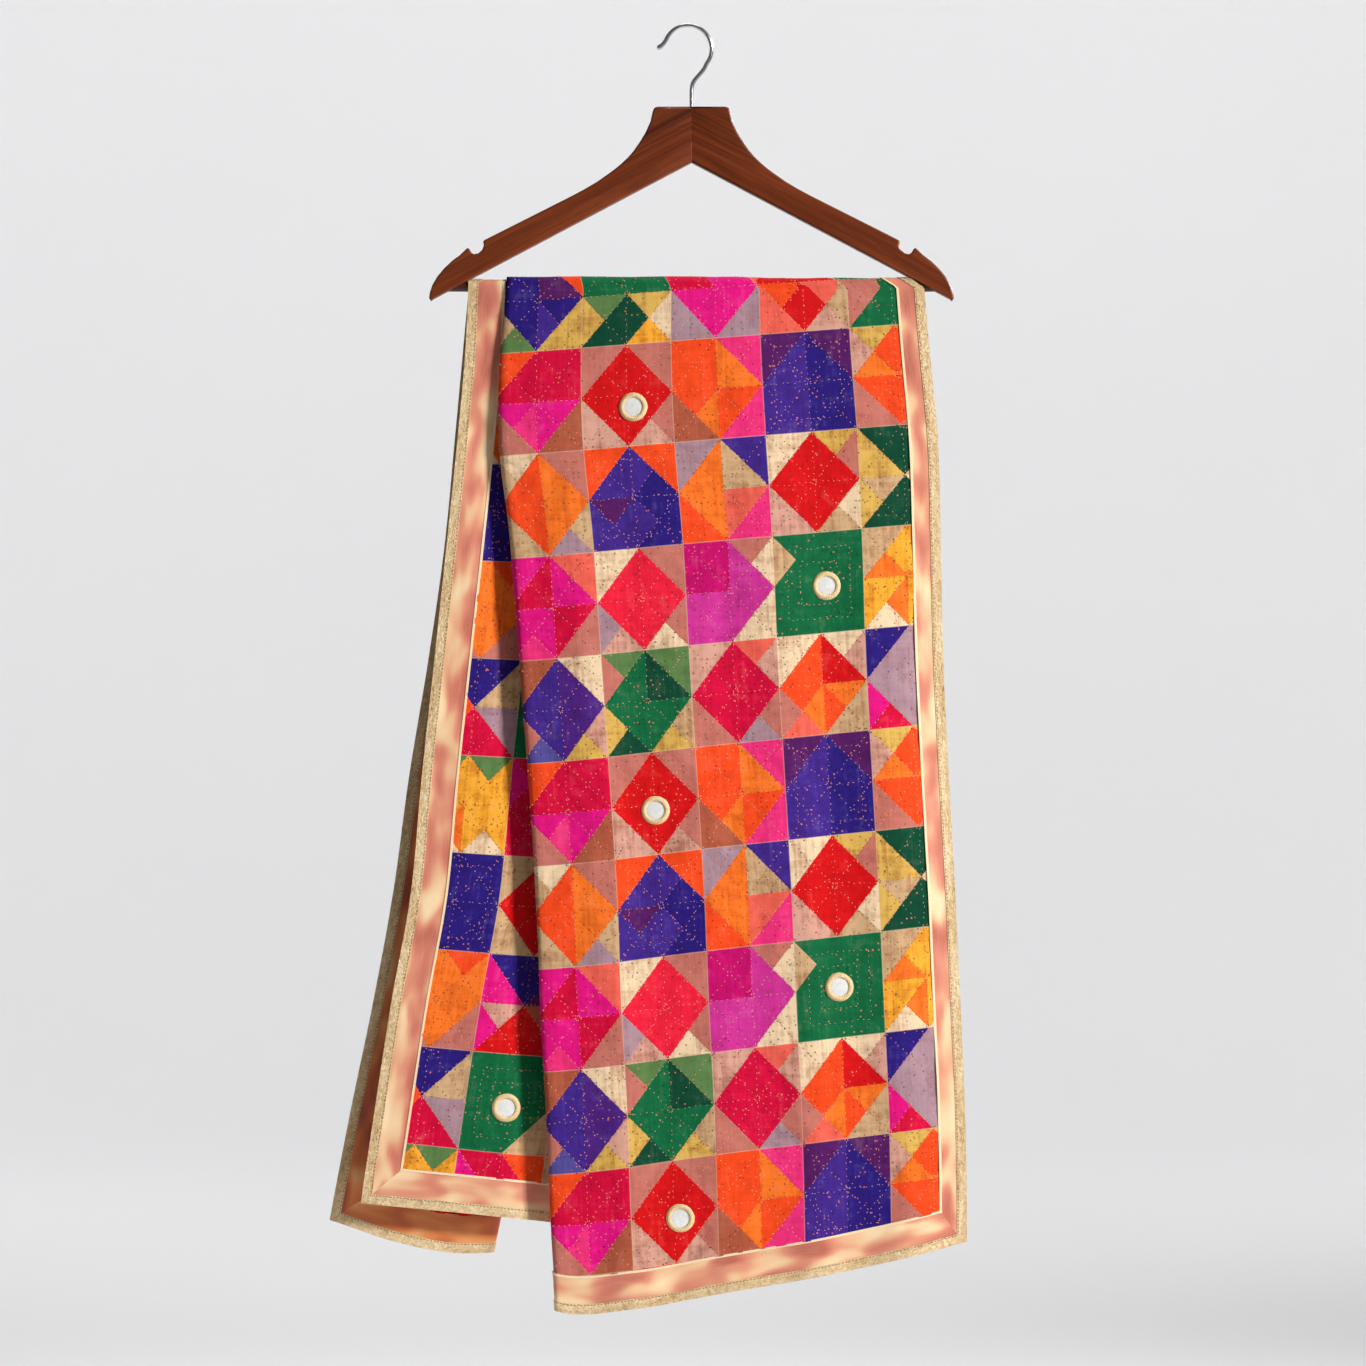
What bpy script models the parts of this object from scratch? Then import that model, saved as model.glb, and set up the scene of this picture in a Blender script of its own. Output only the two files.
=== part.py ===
"""A dupatta draped over the trouser bar of a wooden hanger.

Metres, +Z up, the front faces -Y. The origin is the top of the hook's inner curve.

The cloth is one long sheet folded lengthwise in three: an inner flap, a return
and an outer panel. It goes over the bar, so each drop has the same three layers.
A place on the cloth is given by its cut position, measured across the sheet from
the left selvage, and by its level, the drop below the middle of the bar. Levels
below zero lie on the curve over the bar.
"""
import bisect
import math
from collections import namedtuple

import bmesh
import bpy
import numpy as np
from mathutils import Matrix, Vector

# Hanger
WOOD_THICKNESS = 0.013
WOOD_EDGE_ROUND = 0.0016
MITRE_GAP = 0.0003
UNDERSIDE_APEX_Z = -0.1160
UNDERSIDE_SLOPE = 0.5286
BAR_RADIUS = 0.0045
BAR_HALF_LENGTH = 0.2130
BAR_Z = -0.2220
BAR_SIDES = 16
SOCKET_INNER_X = 0.1700
SEAT_GAP = 0.0003
NECK_TOP_Z = -0.0682

# Hook, with angles in degrees round the middle of its loop
HOOK_WIRE_RADIUS = 0.0018
HOOK_LOOP_RADIUS = 0.0203
HOOK_LOOP_CENTRE = (-0.0031, -0.0185)
HOOK_LOOP_START = -38
HOOK_LOOP_END = 168
HOOK_LOOP_STEPS = 18
HOOK_SHAFT_DEPTH = 0.030
SHAFT_HOLE_SIDES = 12
SHAFT_HOLE_RISE = 0.010

# Cut of the cloth
PRINT_COLUMN = 0.0754
LEFT_BORDER = 0.0317
RIGHT_BORDER = 0.0240
HEM_BORDER = 0.0326
BINDING_WIDTH = 0.0086
LEFT_PART_COLUMN = 0.0446
HIDDEN_COLUMNS = 4
SHOWN_COLUMNS = 4.56
FOLD_PAST_COLUMN = 0.0084
FIRST_COLUMN_CUT = LEFT_BORDER + LEFT_PART_COLUMN + HIDDEN_COLUMNS * PRINT_COLUMN
FOLD_CUT = FIRST_COLUMN_CUT + FOLD_PAST_COLUMN
PRINT_END_CUT = FIRST_COLUMN_CUT + SHOWN_COLUMNS * PRINT_COLUMN
CUT_WIDTH = PRINT_END_CUT + RIGHT_BORDER

# Cloth walls and seams
WALL = 0.0010
BINDING_WALL = 0.0016
SEAM_GAP = 0.0003
MITRE_CUT_GAP = 0.0003
CREST_GAP = 0.0003
ARM_CLEARANCE = 0.0018

# Curve over the bar
QUARTER_ARC = 0.0134
SINK_DEPTH = 0.0012
SINK_START = 0.006
SINK_RUN = 0.045
SINK_DROP = 0.080

# Mirrors
MIRROR_RADIUS = 0.0087
RING_INNER_RADIUS = 0.0090
RING_OUTER_RADIUS = 0.0124
MIRROR_WALL = 0.0010
RING_WALL = 0.0018
MIRROR_SIDES = 16

# Rows of the print, as levels on the outer panel
ROW_AT_FOLD = 0.0876
ROW_AT_EDGE = 0.0857
FIRST_ROW_AT_FOLD = 0.0587
FIRST_ROW_AT_EDGE = 0.0330

Section = namedtuple("Section", "level selvage fold edge")
FRONT_SECTIONS = (
    Section(0.0000, -0.1910, -0.1600, 0.1990),
    Section(0.0545, -0.1935, -0.1640, 0.2035),
    Section(0.1230, -0.1995, -0.1650, 0.2100),
    Section(0.2215, -0.2095, -0.1545, 0.2130),
    Section(0.3200, -0.2200, -0.1470, 0.2150),
    Section(0.4230, -0.2310, -0.1395, 0.2200),
    Section(0.5260, -0.2410, -0.1330, 0.2255),
    Section(0.6115, -0.2565, -0.1300, 0.2295),
    Section(0.7055, -0.2710, -0.1245, 0.2335),
    Section(0.7830, -0.2825, -0.1215, 0.2350),
    Section(0.8770, -0.2945, -0.1160, 0.2345),
)
BACK_SECTIONS = (
    Section(0.0000, -0.1910, -0.1600, 0.1990),
    Section(0.1230, -0.2025, -0.1760, 0.2050),
    Section(0.2215, -0.2120, -0.1890, 0.2085),
    Section(0.3200, -0.2260, -0.2020, 0.2110),
    Section(0.4230, -0.2430, -0.2155, 0.2155),
    Section(0.5180, -0.2560, -0.2285, 0.2200),
    Section(0.6115, -0.2730, -0.2405, 0.2250),
    Section(0.7055, -0.2925, -0.2540, 0.2285),
    Section(0.8300, -0.3165, -0.2637, 0.2300),
)

# How far each layer hangs from the middle of the bar
Depth = namedtuple("Depth", "level flap middle panel")
LAYER_DEPTHS = (
    Depth(0.000, 0.00535, 0.00675, 0.00815),
    Depth(0.050, 0.00620, 0.00900, 0.01180),
    Depth(0.150, 0.00750, 0.01200, 0.01650),
    Depth(0.400, 0.00950, 0.01600, 0.02250),
    Depth(0.880, 0.01150, 0.01900, 0.02650),
)

# Level of each hem across the cut
Hem = namedtuple("Hem", "cut level")
FRONT_HEM = (
    Hem(0.0000, 0.7845),
    Hem(0.1610, 0.8010),
    Hem(0.2660, 0.8160),
    Hem(0.3300, 0.8500),
    Hem(0.3863, 0.8760),
    Hem(0.4533, 0.8730),
    Hem(0.5363, 0.8590),
    Hem(0.6143, 0.8460),
    Hem(0.6933, 0.8295),
    Hem(0.7458, 0.8165),
)
BACK_HEM = (
    Hem(0.0000, 0.8010),
    Hem(0.0634, 0.8205),
    Hem(0.1090, 0.8290),
    Hem(0.1470, 0.8290),
    Hem(0.2455, 0.8050),
    Hem(0.3200, 0.7800),
    Hem(0.3860, 0.7600),
    Hem(0.5000, 0.7640),
    Hem(0.6200, 0.7790),
    Hem(0.7458, 0.7970),
)

# Long soft flutes of the outer panel, measured across from its fold
Flute = namedtuple("Flute", "across half_width height lean")
FRONT_FLUTES = (
    Flute(0.048, 0.024, 0.0034, 0.020),
    Flute(0.128, 0.030, 0.0022, 0.030),
    Flute(0.214, 0.028, 0.0040, 0.015),
    Flute(0.296, 0.022, 0.0030, 0.010),
)
BACK_FLUTES = (
    Flute(0.060, 0.028, 0.0030, 0.010),
    Flute(0.165, 0.034, 0.0038, -0.010),
    Flute(0.280, 0.026, 0.0030, 0.020),
)
FLUTE_FADE = 0.030
FLUTE_GROWTH = 0.350
FLUTE_AT_BAR = 0.15
EDGE_CURL = 0.0060
EDGE_CURL_RUN = 0.060

# Grid of the walls
TURN_STEPS = 6
LAYER_STEPS = {"flap": 5, "middle": 4, "panel": 14}
ARC_STEPS = 5
DROP_STEPS = (0.0, 0.014, 0.04, 0.08, 0.14, 0.21, 0.30, 0.40, 0.51, 0.63, 0.76, 0.88, 1.0)
SETTLE_ROUNDS = 8
NORMAL_STEP = 0.00002

# Where one stretch of the wall ends and the next starts, in parts of a layer's width
STRETCH_TAIL = 0.06
STRETCH_GAP = 0.0015

COLLECTION = "dupatta_on_hanger"


class Profile:
    """A smooth curve through one column of a table."""

    def __init__(self, rows, column):
        self.at = [row[0] for row in rows]
        self.value = [getattr(row, column) for row in rows]
        self.slope = np.gradient(self.value, self.at)

    def __call__(self, at):
        at = min(max(at, self.at[0]), self.at[-1])
        i = min(bisect.bisect_right(self.at, at), len(self.at) - 1) - 1
        span = self.at[i + 1] - self.at[i]
        t = (at - self.at[i]) / span
        rise = t * t * (3 - 2 * t)
        start_pull = t * (1 - t) ** 2 * span * self.slope[i]
        end_pull = t * t * (1 - t) * span * self.slope[i + 1]
        return self.value[i] * (1 - rise) + self.value[i + 1] * rise + start_pull - end_pull


def ramp(t):
    """Ease from 0 to 1 while t goes from 0 to 1."""
    t = min(max(t, 0.0), 1.0)
    return t * t * (3 - 2 * t)


DEPTH = {name: Profile(LAYER_DEPTHS, name) for name in ("flap", "middle", "panel")}


class Drop:
    """One side of the draped cloth: the front with facing -1 or the back with facing 1."""

    def __init__(self, name, facing, sections, hem, flutes):
        self.name = name
        self.facing = facing
        self.selvage = Profile(sections, "selvage")
        self.fold = Profile(sections, "fold")
        self.edge = Profile(sections, "edge")
        self.hem = Profile(hem, "level")
        self.flutes = flutes

    def fold_cut(self, level):
        """Cut position where the flat of the outer panel starts."""
        if self.name == "front":
            return FOLD_CUT
        level = max(level, 0.0)
        turn = (DEPTH["panel"](level) - DEPTH["middle"](level)) / 2
        return CUT_WIDTH - (self.edge(level) - self.fold(level) - turn) / BACK_EASE

    def layout(self, level):
        """Places of the folds across one level, and the cut positions between them."""
        on = max(level, 0.0)
        flap, middle, panel = (DEPTH[name](on) for name in ("flap", "middle", "panel"))
        inner_turn = (middle - flap) / 2
        outer_turn = (panel - middle) / 2
        fold = self.fold(on)
        selvage = max(self.selvage(on), -arm_reach(height(level, flap)))
        edge = min(self.edge(on), arm_reach(height(level, panel - SINK_DEPTH)))
        fold_cut = self.fold_cut(level)
        turns = math.pi * (inner_turn + outer_turn)
        turn_x = (fold_cut + selvage + fold + 2 * inner_turn + outer_turn - turns) / 2
        flap_end = turn_x - inner_turn - selvage
        return_start = flap_end + math.pi * inner_turn
        return_end = fold_cut - math.pi * outer_turn
        scale = (edge - fold - outer_turn) / (CUT_WIDTH - fold_cut)
        return Layout(flap, middle, panel, inner_turn, outer_turn, selvage, fold, turn_x, scale,
                      (flap_end, return_start, return_end, fold_cut))

    def relief(self, cut, level, lay, x):
        """How far the outer panel stands out of its even depth."""
        across = cut - lay.breaks[3]
        growth = FLUTE_AT_BAR + (1 - FLUTE_AT_BAR) * ramp(level / FLUTE_GROWTH)
        out = 0.0
        for flute in self.flutes:
            offset = (across - flute.across - flute.lean * level) / flute.half_width
            out += flute.height * math.exp(-offset * offset)
        out *= growth * ramp(across / FLUTE_FADE)
        curl = ramp((cut - CUT_WIDTH + EDGE_CURL_RUN) / EDGE_CURL_RUN)
        out -= EDGE_CURL * curl * curl * ramp(level / FLUTE_GROWTH)
        sink = ramp((x - lay.turn_x - SINK_START) / SINK_RUN) * (1 - ramp(level / SINK_DROP))
        return out - SINK_DEPTH * sink

    def section(self, cut, level):
        """Place across, and distance from the bar, of a cut position at one level."""
        lay = self.layout(level)
        flap_end, return_start, return_end, fold_cut = lay.breaks
        if cut < flap_end:
            return lay.selvage + cut, lay.flap
        if cut < return_start:
            angle = (cut - flap_end) / lay.inner_turn
            x = lay.turn_x + lay.inner_turn * (math.sin(angle) - 1)
            return x, lay.flap + lay.inner_turn * (1 - math.cos(angle))
        if cut < return_end:
            return lay.turn_x - lay.inner_turn - (cut - return_start), lay.middle
        if cut < fold_cut:
            angle = (cut - return_end) / lay.outer_turn
            x = lay.fold + lay.outer_turn * (1 - math.sin(angle))
            return x, lay.middle + lay.outer_turn * (1 - math.cos(angle))
        x = lay.fold + lay.outer_turn + (cut - fold_cut) * lay.scale
        return x, lay.panel + self.relief(cut, level, lay, x)

    def at(self, cut, level):
        """Middle of the cloth at a cut position and level."""
        x, depth = self.section(cut, level)
        angle = max(-level, 0.0) / QUARTER_ARC * math.pi / 2
        return Vector((x, self.facing * depth * math.cos(angle), height(level, depth)))

    def normal(self, cut, level):
        """Direction that the printed side faces."""
        down = self.at(cut, level + NORMAL_STEP) - self.at(cut, level - NORMAL_STEP)
        across = self.at(cut + NORMAL_STEP, level) - self.at(cut - NORMAL_STEP, level)
        return (down.cross(across) * -self.facing).normalized()

    def raised(self, cut, level, lift):
        """A point on the cloth, moved out along its normal."""
        return self.at(cut, level) + self.normal(cut, level) * lift


Layout = namedtuple("Layout", "flap middle panel inner_turn outer_turn selvage fold turn_x scale breaks")


def height(level, depth):
    """Height of a level: round the bar while it is below zero, then straight down."""
    if level < 0:
        return BAR_Z + depth * math.sin(-level / QUARTER_ARC * math.pi / 2)
    return BAR_Z - level


def arm_reach(z):
    """How far out the cloth may lie at a height, under the hanger's arms."""
    return (UNDERSIDE_APEX_Z - z - ARM_CLEARANCE) / UNDERSIDE_SLOPE


def back_ease():
    """Width that the outer panel takes at the bar, over its cut width."""
    turn = (LAYER_DEPTHS[0].panel - LAYER_DEPTHS[0].middle) / 2
    top = BACK_SECTIONS[0]
    return (top.edge - top.fold - turn) / (CUT_WIDTH - FOLD_CUT)


BACK_EASE = back_ease()
DROPS = (
    Drop("front", -1, FRONT_SECTIONS, FRONT_HEM, FRONT_FLUTES),
    Drop("back", 1, BACK_SECTIONS, BACK_HEM, BACK_FLUTES),
)


def clear_scene():
    for thing in list(bpy.data.objects):
        bpy.data.objects.remove(thing, do_unlink=True)


def collection(name):
    made = bpy.data.collections.new(name)
    bpy.context.scene.collection.children.link(made)
    return made


def material(name, colour, roughness, metallic=0.0):
    made = bpy.data.materials.new(name)
    made.use_nodes = True
    shader = made.node_tree.nodes["Principled BSDF"]
    shader.inputs["Base Color"].default_value = (*colour, 1.0)
    shader.inputs["Roughness"].default_value = roughness
    shader.inputs["Metallic"].default_value = metallic
    return made


def grid_object(name, columns, finish, thickness):
    """A wall: an open grid of points, given column by column, with Solidify."""
    mesh = bpy.data.meshes.new(name)
    made = bmesh.new()
    rows = [[made.verts.new(point) for point in column] for column in columns]
    for left, right in zip(rows, rows[1:]):
        for i in range(len(left) - 1):
            made.faces.new((left[i], left[i + 1], right[i + 1], right[i]))
    made.to_mesh(mesh)
    made.free()
    return wall(name, mesh, finish, thickness)


def wall(name, mesh, finish, thickness):
    thing = bpy.data.objects.new(name, mesh)
    mesh.materials.append(finish)
    mesh.shade_smooth()
    PARTS.objects.link(thing)
    solidify = thing.modifiers.new("Wall", "SOLIDIFY")
    solidify.thickness = thickness
    solidify.offset = 0.0
    solidify.use_even_offset = True
    return thing


def mitre_height(inset, border):
    """Height of the corner seam above the hem, at a distance in from the selvage."""
    if inset <= BINDING_WIDTH:
        return inset
    run = (inset - BINDING_WIDTH) / (border - BINDING_WIDTH)
    return BINDING_WIDTH + run * (HEM_BORDER - BINDING_WIDTH)


def mitre_inset(above_hem, border):
    """Distance of the corner seam from the selvage, at a height above the hem."""
    if above_hem <= BINDING_WIDTH:
        return above_hem
    run = (above_hem - BINDING_WIDTH) / (HEM_BORDER - BINDING_WIDTH)
    return BINDING_WIDTH + run * (border - BINDING_WIDTH)


def cut_at(drop, place, level):
    """Cut position of a place that counts 1 for each layer and each turn between them."""
    start = LEFT_BORDER + SEAM_GAP / 2
    end = CUT_WIDTH - RIGHT_BORDER - SEAM_GAP / 2
    stops = (start, *drop.layout(level).breaks, end)
    i = min(int(place), len(stops) - 2)
    return stops[i] + (stops[i + 1] - stops[i]) * (place - i)


def settle(drop, place, level_of):
    """Cut position and level that belong together, where each depends on the other."""
    level = level_of(FOLD_CUT)
    cut = cut_at(drop, place, level)
    for _ in range(SETTLE_ROUNDS):
        level = level_of(cut)
        cut = cut_at(drop, place, level)
    return cut, level_of(cut)


def places(first, last, steps):
    """Even places from the first to the last."""
    return [first + (last - first) * i / steps for i in range(steps + 1)]


def stretch_places(layer):
    """Places across one stretch. The turns belong to the flap and to the panel."""
    steps = LAYER_STEPS[layer]
    if layer == "flap":
        return places(0, 1, steps) + places(1, 2, TURN_STEPS)[1:] + [2 + STRETCH_TAIL - STRETCH_GAP]
    if layer == "middle":
        return places(2 + STRETCH_TAIL + STRETCH_GAP, 3 - STRETCH_TAIL - STRETCH_GAP, steps)
    return [3 - STRETCH_TAIL + STRETCH_GAP] + places(3, 4, TURN_STEPS)[:-1] + places(4, 5, steps)


def drop_levels():
    """Steps down a drop: levels on the curve, then fractions of the way to the hem."""
    arc = [("arc", -(QUARTER_ARC - CREST_GAP) * (1 - i / ARC_STEPS)) for i in range(ARC_STEPS)]
    return arc + [("fall", step) for step in DROP_STEPS]


def level_rule(kind, amount, foot):
    """The level at a cut position, for one step of the grid."""
    if kind == "arc":
        return lambda cut: amount
    return lambda cut: amount * foot(cut)


def panel_foot(drop):
    """Level where the printed field ends, as a function of the cut position."""
    return lambda cut: drop.hem(cut) - HEM_BORDER - SEAM_GAP / 2


def field_stretch(drop, layer, finish):
    columns = []
    foot = panel_foot(drop)
    for place in stretch_places(layer):
        column = []
        for kind, amount in drop_levels():
            cut, level = settle(drop, place, level_rule(kind, amount, foot))
            column.append(drop.at(cut, level))
        columns.append(column)
    return grid_object(f"field_{drop.name}_{layer}", columns, finish, WALL)


def side_strip(name, drop, side, insets, lift, finish, thickness):
    """A strip along a selvage. Its foot follows the mitred corner seam."""
    border = LEFT_BORDER if side == "left" else RIGHT_BORDER
    columns = []
    for inset in insets:
        cut = inset if side == "left" else CUT_WIDTH - inset
        foot = drop.hem(cut) - mitre_height(inset, border) - MITRE_CUT_GAP
        column = []
        for kind, amount in drop_levels():
            level = amount if kind == "arc" else amount * foot
            column.append(drop.raised(cut, level, lift))
        columns.append(column)
    return grid_object(name, columns, finish, thickness)


def hem_strip(name, drop, layer, heights, lift, finish, thickness):
    """A strip along a hem, across one stretch, with its mitred end at a selvage."""
    spots = [("place", place) for place in stretch_places(layer)]
    if layer == "flap":
        spots.insert(0, ("mitre", "left"))
    if layer == "panel":
        spots.append(("mitre", "right"))
    columns = []
    for kind, where in spots:
        column = []
        for above in heights:
            level_of = lambda cut: drop.hem(cut) - above
            if kind == "place":
                cut, level = settle(drop, where, level_of)
            else:
                border = LEFT_BORDER if where == "left" else RIGHT_BORDER
                inset = mitre_inset(above, border) + MITRE_CUT_GAP
                cut = inset if where == "left" else CUT_WIDTH - inset
                level = level_of(cut)
            column.append(drop.raised(cut, level, lift))
        columns.append(column)
    return grid_object(name, columns, finish, thickness)


def borders(drop, satin, tissue):
    """Satin bands and the tissue binding outside them, on one drop."""
    proud = (BINDING_WALL - WALL) / 2
    half_gap = SEAM_GAP / 2
    for side, border in (("left", LEFT_BORDER), ("right", RIGHT_BORDER)):
        band = (border - half_gap, BINDING_WIDTH + half_gap)
        binding = (BINDING_WIDTH - half_gap, 0.0)
        side_strip(f"band_{side}_{drop.name}", drop, side, band, 0.0, satin, WALL)
        side_strip(f"binding_{side}_{drop.name}", drop, side, binding, proud, tissue, BINDING_WALL)
    for layer in LAYER_STEPS:
        band = (HEM_BORDER - half_gap, BINDING_WIDTH + half_gap)
        binding = (BINDING_WIDTH - half_gap, 0.0)
        hem_strip(f"band_hem_{drop.name}_{layer}", drop, layer, band, 0.0, satin, WALL)
        hem_strip(f"binding_hem_{drop.name}_{layer}", drop, layer, binding, proud, tissue, BINDING_WALL)


def row_level(drop, cut, row):
    """Level of a print row on the outer panel. Row 1 starts just under the bar in front."""
    across = (cut - FIRST_COLUMN_CUT) / (PRINT_END_CUT - FIRST_COLUMN_CUT)
    pitch = ROW_AT_FOLD + (ROW_AT_EDGE - ROW_AT_FOLD) * across
    first = FIRST_ROW_AT_FOLD + (FIRST_ROW_AT_EDGE - FIRST_ROW_AT_FOLD) * across
    front_level = first + (row - 1) * pitch
    if drop.name == "front":
        return front_level
    return -2 * QUARTER_ARC - front_level


def facet(drop, layer, cut, level):
    """The point of a stretch's flat facets at a cut position and level, and their normal."""
    start = LEFT_BORDER + SEAM_GAP / 2
    end = CUT_WIDTH - RIGHT_BORDER - SEAM_GAP / 2
    breaks = drop.layout(level).breaks
    first_place, low, high = (0, start, breaks[0]) if layer == "flap" else (4, breaks[3], end)
    steps = LAYER_STEPS[layer]
    column = (cut - low) / (high - low) * steps
    left = min(int(column), steps - 1)
    foot = panel_foot(drop)
    fall = level / foot(cut)
    row = bisect.bisect_right(DROP_STEPS, fall) - 1
    corners = []
    for i in (left, left + 1):
        for step in DROP_STEPS[row:row + 2]:
            spot = settle(drop, first_place + i / steps, level_rule("fall", step, foot))
            corners.append(drop.at(*spot))
    across = column - left
    down = (fall - DROP_STEPS[row]) / (DROP_STEPS[row + 1] - DROP_STEPS[row])
    top = corners[0].lerp(corners[2], across)
    bottom = corners[1].lerp(corners[3], across)
    normal = (bottom - top).cross(corners[2] + corners[3] - corners[0] - corners[1]) * -drop.facing
    return top.lerp(bottom, down), normal.normalized()


def round_rim(drop, layer, cut, level, radius, lift):
    """Points round a place on a stretch, moved out along the facets' normals."""
    points = []
    for i in range(MIRROR_SIDES):
        angle = 2 * math.pi * i / MIRROR_SIDES
        point, normal = facet(drop, layer, cut + radius * math.cos(angle), level + radius * math.sin(angle))
        points.append(point + normal * lift)
    return points


def mirror(drop, layer, name, cut, level, glass, thread):
    """A round mirror and its wrapped ring, on the stretch's own points moved out."""
    lift = WALL / 2 + SEAM_GAP + MIRROR_WALL / 2
    point, normal = facet(drop, layer, cut, level)
    disc = bmesh.new()
    middle = disc.verts.new(point + normal * lift)
    rim = [disc.verts.new(place) for place in round_rim(drop, layer, cut, level, MIRROR_RADIUS, lift)]
    for i in range(MIRROR_SIDES):
        disc.faces.new((middle, rim[i], rim[(i + 1) % MIRROR_SIDES]))
    mesh = bpy.data.meshes.new(f"mirror_{name}")
    disc.to_mesh(mesh)
    disc.free()
    wall(f"mirror_{name}", mesh, glass, MIRROR_WALL)

    lift = WALL / 2 + SEAM_GAP + RING_WALL / 2
    band = bmesh.new()
    inner = [band.verts.new(place) for place in round_rim(drop, layer, cut, level, RING_INNER_RADIUS, lift)]
    outer = [band.verts.new(place) for place in round_rim(drop, layer, cut, level, RING_OUTER_RADIUS, lift)]
    for i in range(MIRROR_SIDES):
        j = (i + 1) % MIRROR_SIDES
        band.faces.new((inner[i], outer[i], outer[j], inner[j]))
    mesh = bpy.data.meshes.new(f"ring_{name}")
    band.to_mesh(mesh)
    band.free()
    wall(f"ring_{name}", mesh, thread, RING_WALL)


# Blocks with a mirror, as print column and row, and how far it is off the block's middle
MirrorBlock = namedtuple("MirrorBlock", "drop column row right down")
MIRROR_BLOCKS = (
    MirrorBlock("front", 1, 1, 0.0051, 0.0103),
    MirrorBlock("front", 3, 3, 0.0063, 0.0030),
    MirrorBlock("front", 1, 5, 0.0, 0.0060),
    MirrorBlock("front", 3, 7, 0.0, 0.0),
    MirrorBlock("front", 1, 9, 0.0051, 0.0060),
    MirrorBlock("back", 3, -1, 0.0, 0.0),
    MirrorBlock("back", 1, -3, 0.0, 0.0),
    MirrorBlock("back", 3, -5, 0.0, 0.0),
    MirrorBlock("back", 1, -7, 0.0, 0.0),
)
FLAP_MIRROR_CUT = 0.1120
FLAP_MIRROR_LEVEL = 0.7030


def mirrors(glass, thread):
    by_name = {drop.name: drop for drop in DROPS}
    for i, block in enumerate(MIRROR_BLOCKS, start=1):
        drop = by_name[block.drop]
        cut = FIRST_COLUMN_CUT + (block.column + 0.5) * PRINT_COLUMN + block.right
        level = row_level(drop, cut, block.row + 0.5) + block.down
        mirror(drop, "panel", f"{block.drop}_{i}", cut, level, glass, thread)
    mirror(by_name["front"], "flap", "flap", FLAP_MIRROR_CUT, FLAP_MIRROR_LEVEL, glass, thread)


# Right half of the hanger's outline from the neck, round the strap notch, to the tip
Corner = namedtuple("Corner", "x z")
ARM_OUTLINE = (
    Corner(0.0290, -0.0682),
    Corner(0.0318, -0.0692),
    Corner(0.0332, -0.0722),
    Corner(0.0350, -0.0805),
    Corner(0.0394, -0.0904),
    Corner(0.0446, -0.0990),
    Corner(0.0497, -0.1063),
    Corner(0.0548, -0.1121),
    Corner(0.0600, -0.1170),
    Corner(0.0651, -0.1213),
    Corner(0.0703, -0.1251),
    Corner(0.0806, -0.1324),
    Corner(0.0908, -0.1384),
    Corner(0.1011, -0.1440),
    Corner(0.1774, -0.1825),
    Corner(0.1785, -0.1838),
    Corner(0.1779, -0.1868),
    Corner(0.1792, -0.1908),
    Corner(0.1825, -0.1938),
    Corner(0.1863, -0.1945),
    Corner(0.1884, -0.1932),
    Corner(0.1903, -0.1898),
    Corner(0.1920, -0.1893),
    Corner(0.1984, -0.1954),
    Corner(0.2053, -0.2005),
    Corner(0.2121, -0.2070),
    Corner(0.2177, -0.2138),
    Corner(0.2220, -0.2211),
    Corner(0.2241, -0.2275),
    Corner(0.2247, -0.2322),
    Corner(0.2232, -0.2346),
    Corner(0.2210, -0.2328),
)


def arm(name, hand, finish, cutters):
    """Half of the hanger: its flat outline given thickness, with the long edges rounded."""
    seam = MITRE_GAP / 2
    outline = [(seam, NECK_TOP_Z)]
    outline += [(corner.x, corner.z) for corner in ARM_OUTLINE]
    outline += [(seam, UNDERSIDE_APEX_Z)]
    made = bmesh.new()
    front = [made.verts.new((hand * x, -WOOD_THICKNESS / 2, z)) for x, z in outline]
    face = made.faces.new(front)
    grown = bmesh.ops.extrude_face_region(made, geom=[face])
    moved = [item for item in grown["geom"] if isinstance(item, bmesh.types.BMVert)]
    bmesh.ops.translate(made, verts=moved, vec=(0, WOOD_THICKNESS, 0))
    bmesh.ops.recalc_face_normals(made, faces=made.faces)
    weight = made.edges.layers.float.new("bevel_weight_edge")
    for edge in made.edges:
        a, b = edge.verts
        along_face = abs(a.co.y - b.co.y) < SEAT_GAP
        at_seam = abs(a.co.x) < 2 * seam and abs(b.co.x) < 2 * seam
        edge[weight] = 1.0 if along_face and not at_seam else 0.0
    mesh = bpy.data.meshes.new(name)
    made.to_mesh(mesh)
    made.free()
    mesh.materials.append(finish)
    thing = bpy.data.objects.new(name, mesh)
    PARTS.objects.link(thing)
    rounding = thing.modifiers.new("Rounded edges", "BEVEL")
    rounding.width = WOOD_EDGE_ROUND
    rounding.segments = 2
    rounding.limit_method = "WEIGHT"
    for cutter in cutters:
        hole = thing.modifiers.new(cutter.name, "BOOLEAN")
        hole.operation = "DIFFERENCE"
        hole.object = cutter
    return thing


def cylinder(name, radius, start, end, sides):
    """A cylinder between two points."""
    start = Vector(start)
    end = Vector(end)
    along = end - start
    made = bmesh.new()
    bmesh.ops.create_cone(made, cap_ends=True, segments=sides, radius1=radius, radius2=radius,
                          depth=along.length)
    turn = Vector((0, 0, 1)).rotation_difference(along)
    place = Matrix.Translation((start + end) / 2) @ turn.to_matrix().to_4x4()
    bmesh.ops.transform(made, matrix=place, verts=made.verts)
    mesh = bpy.data.meshes.new(name)
    made.to_mesh(mesh)
    made.free()
    return bpy.data.objects.new(name, mesh)


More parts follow.
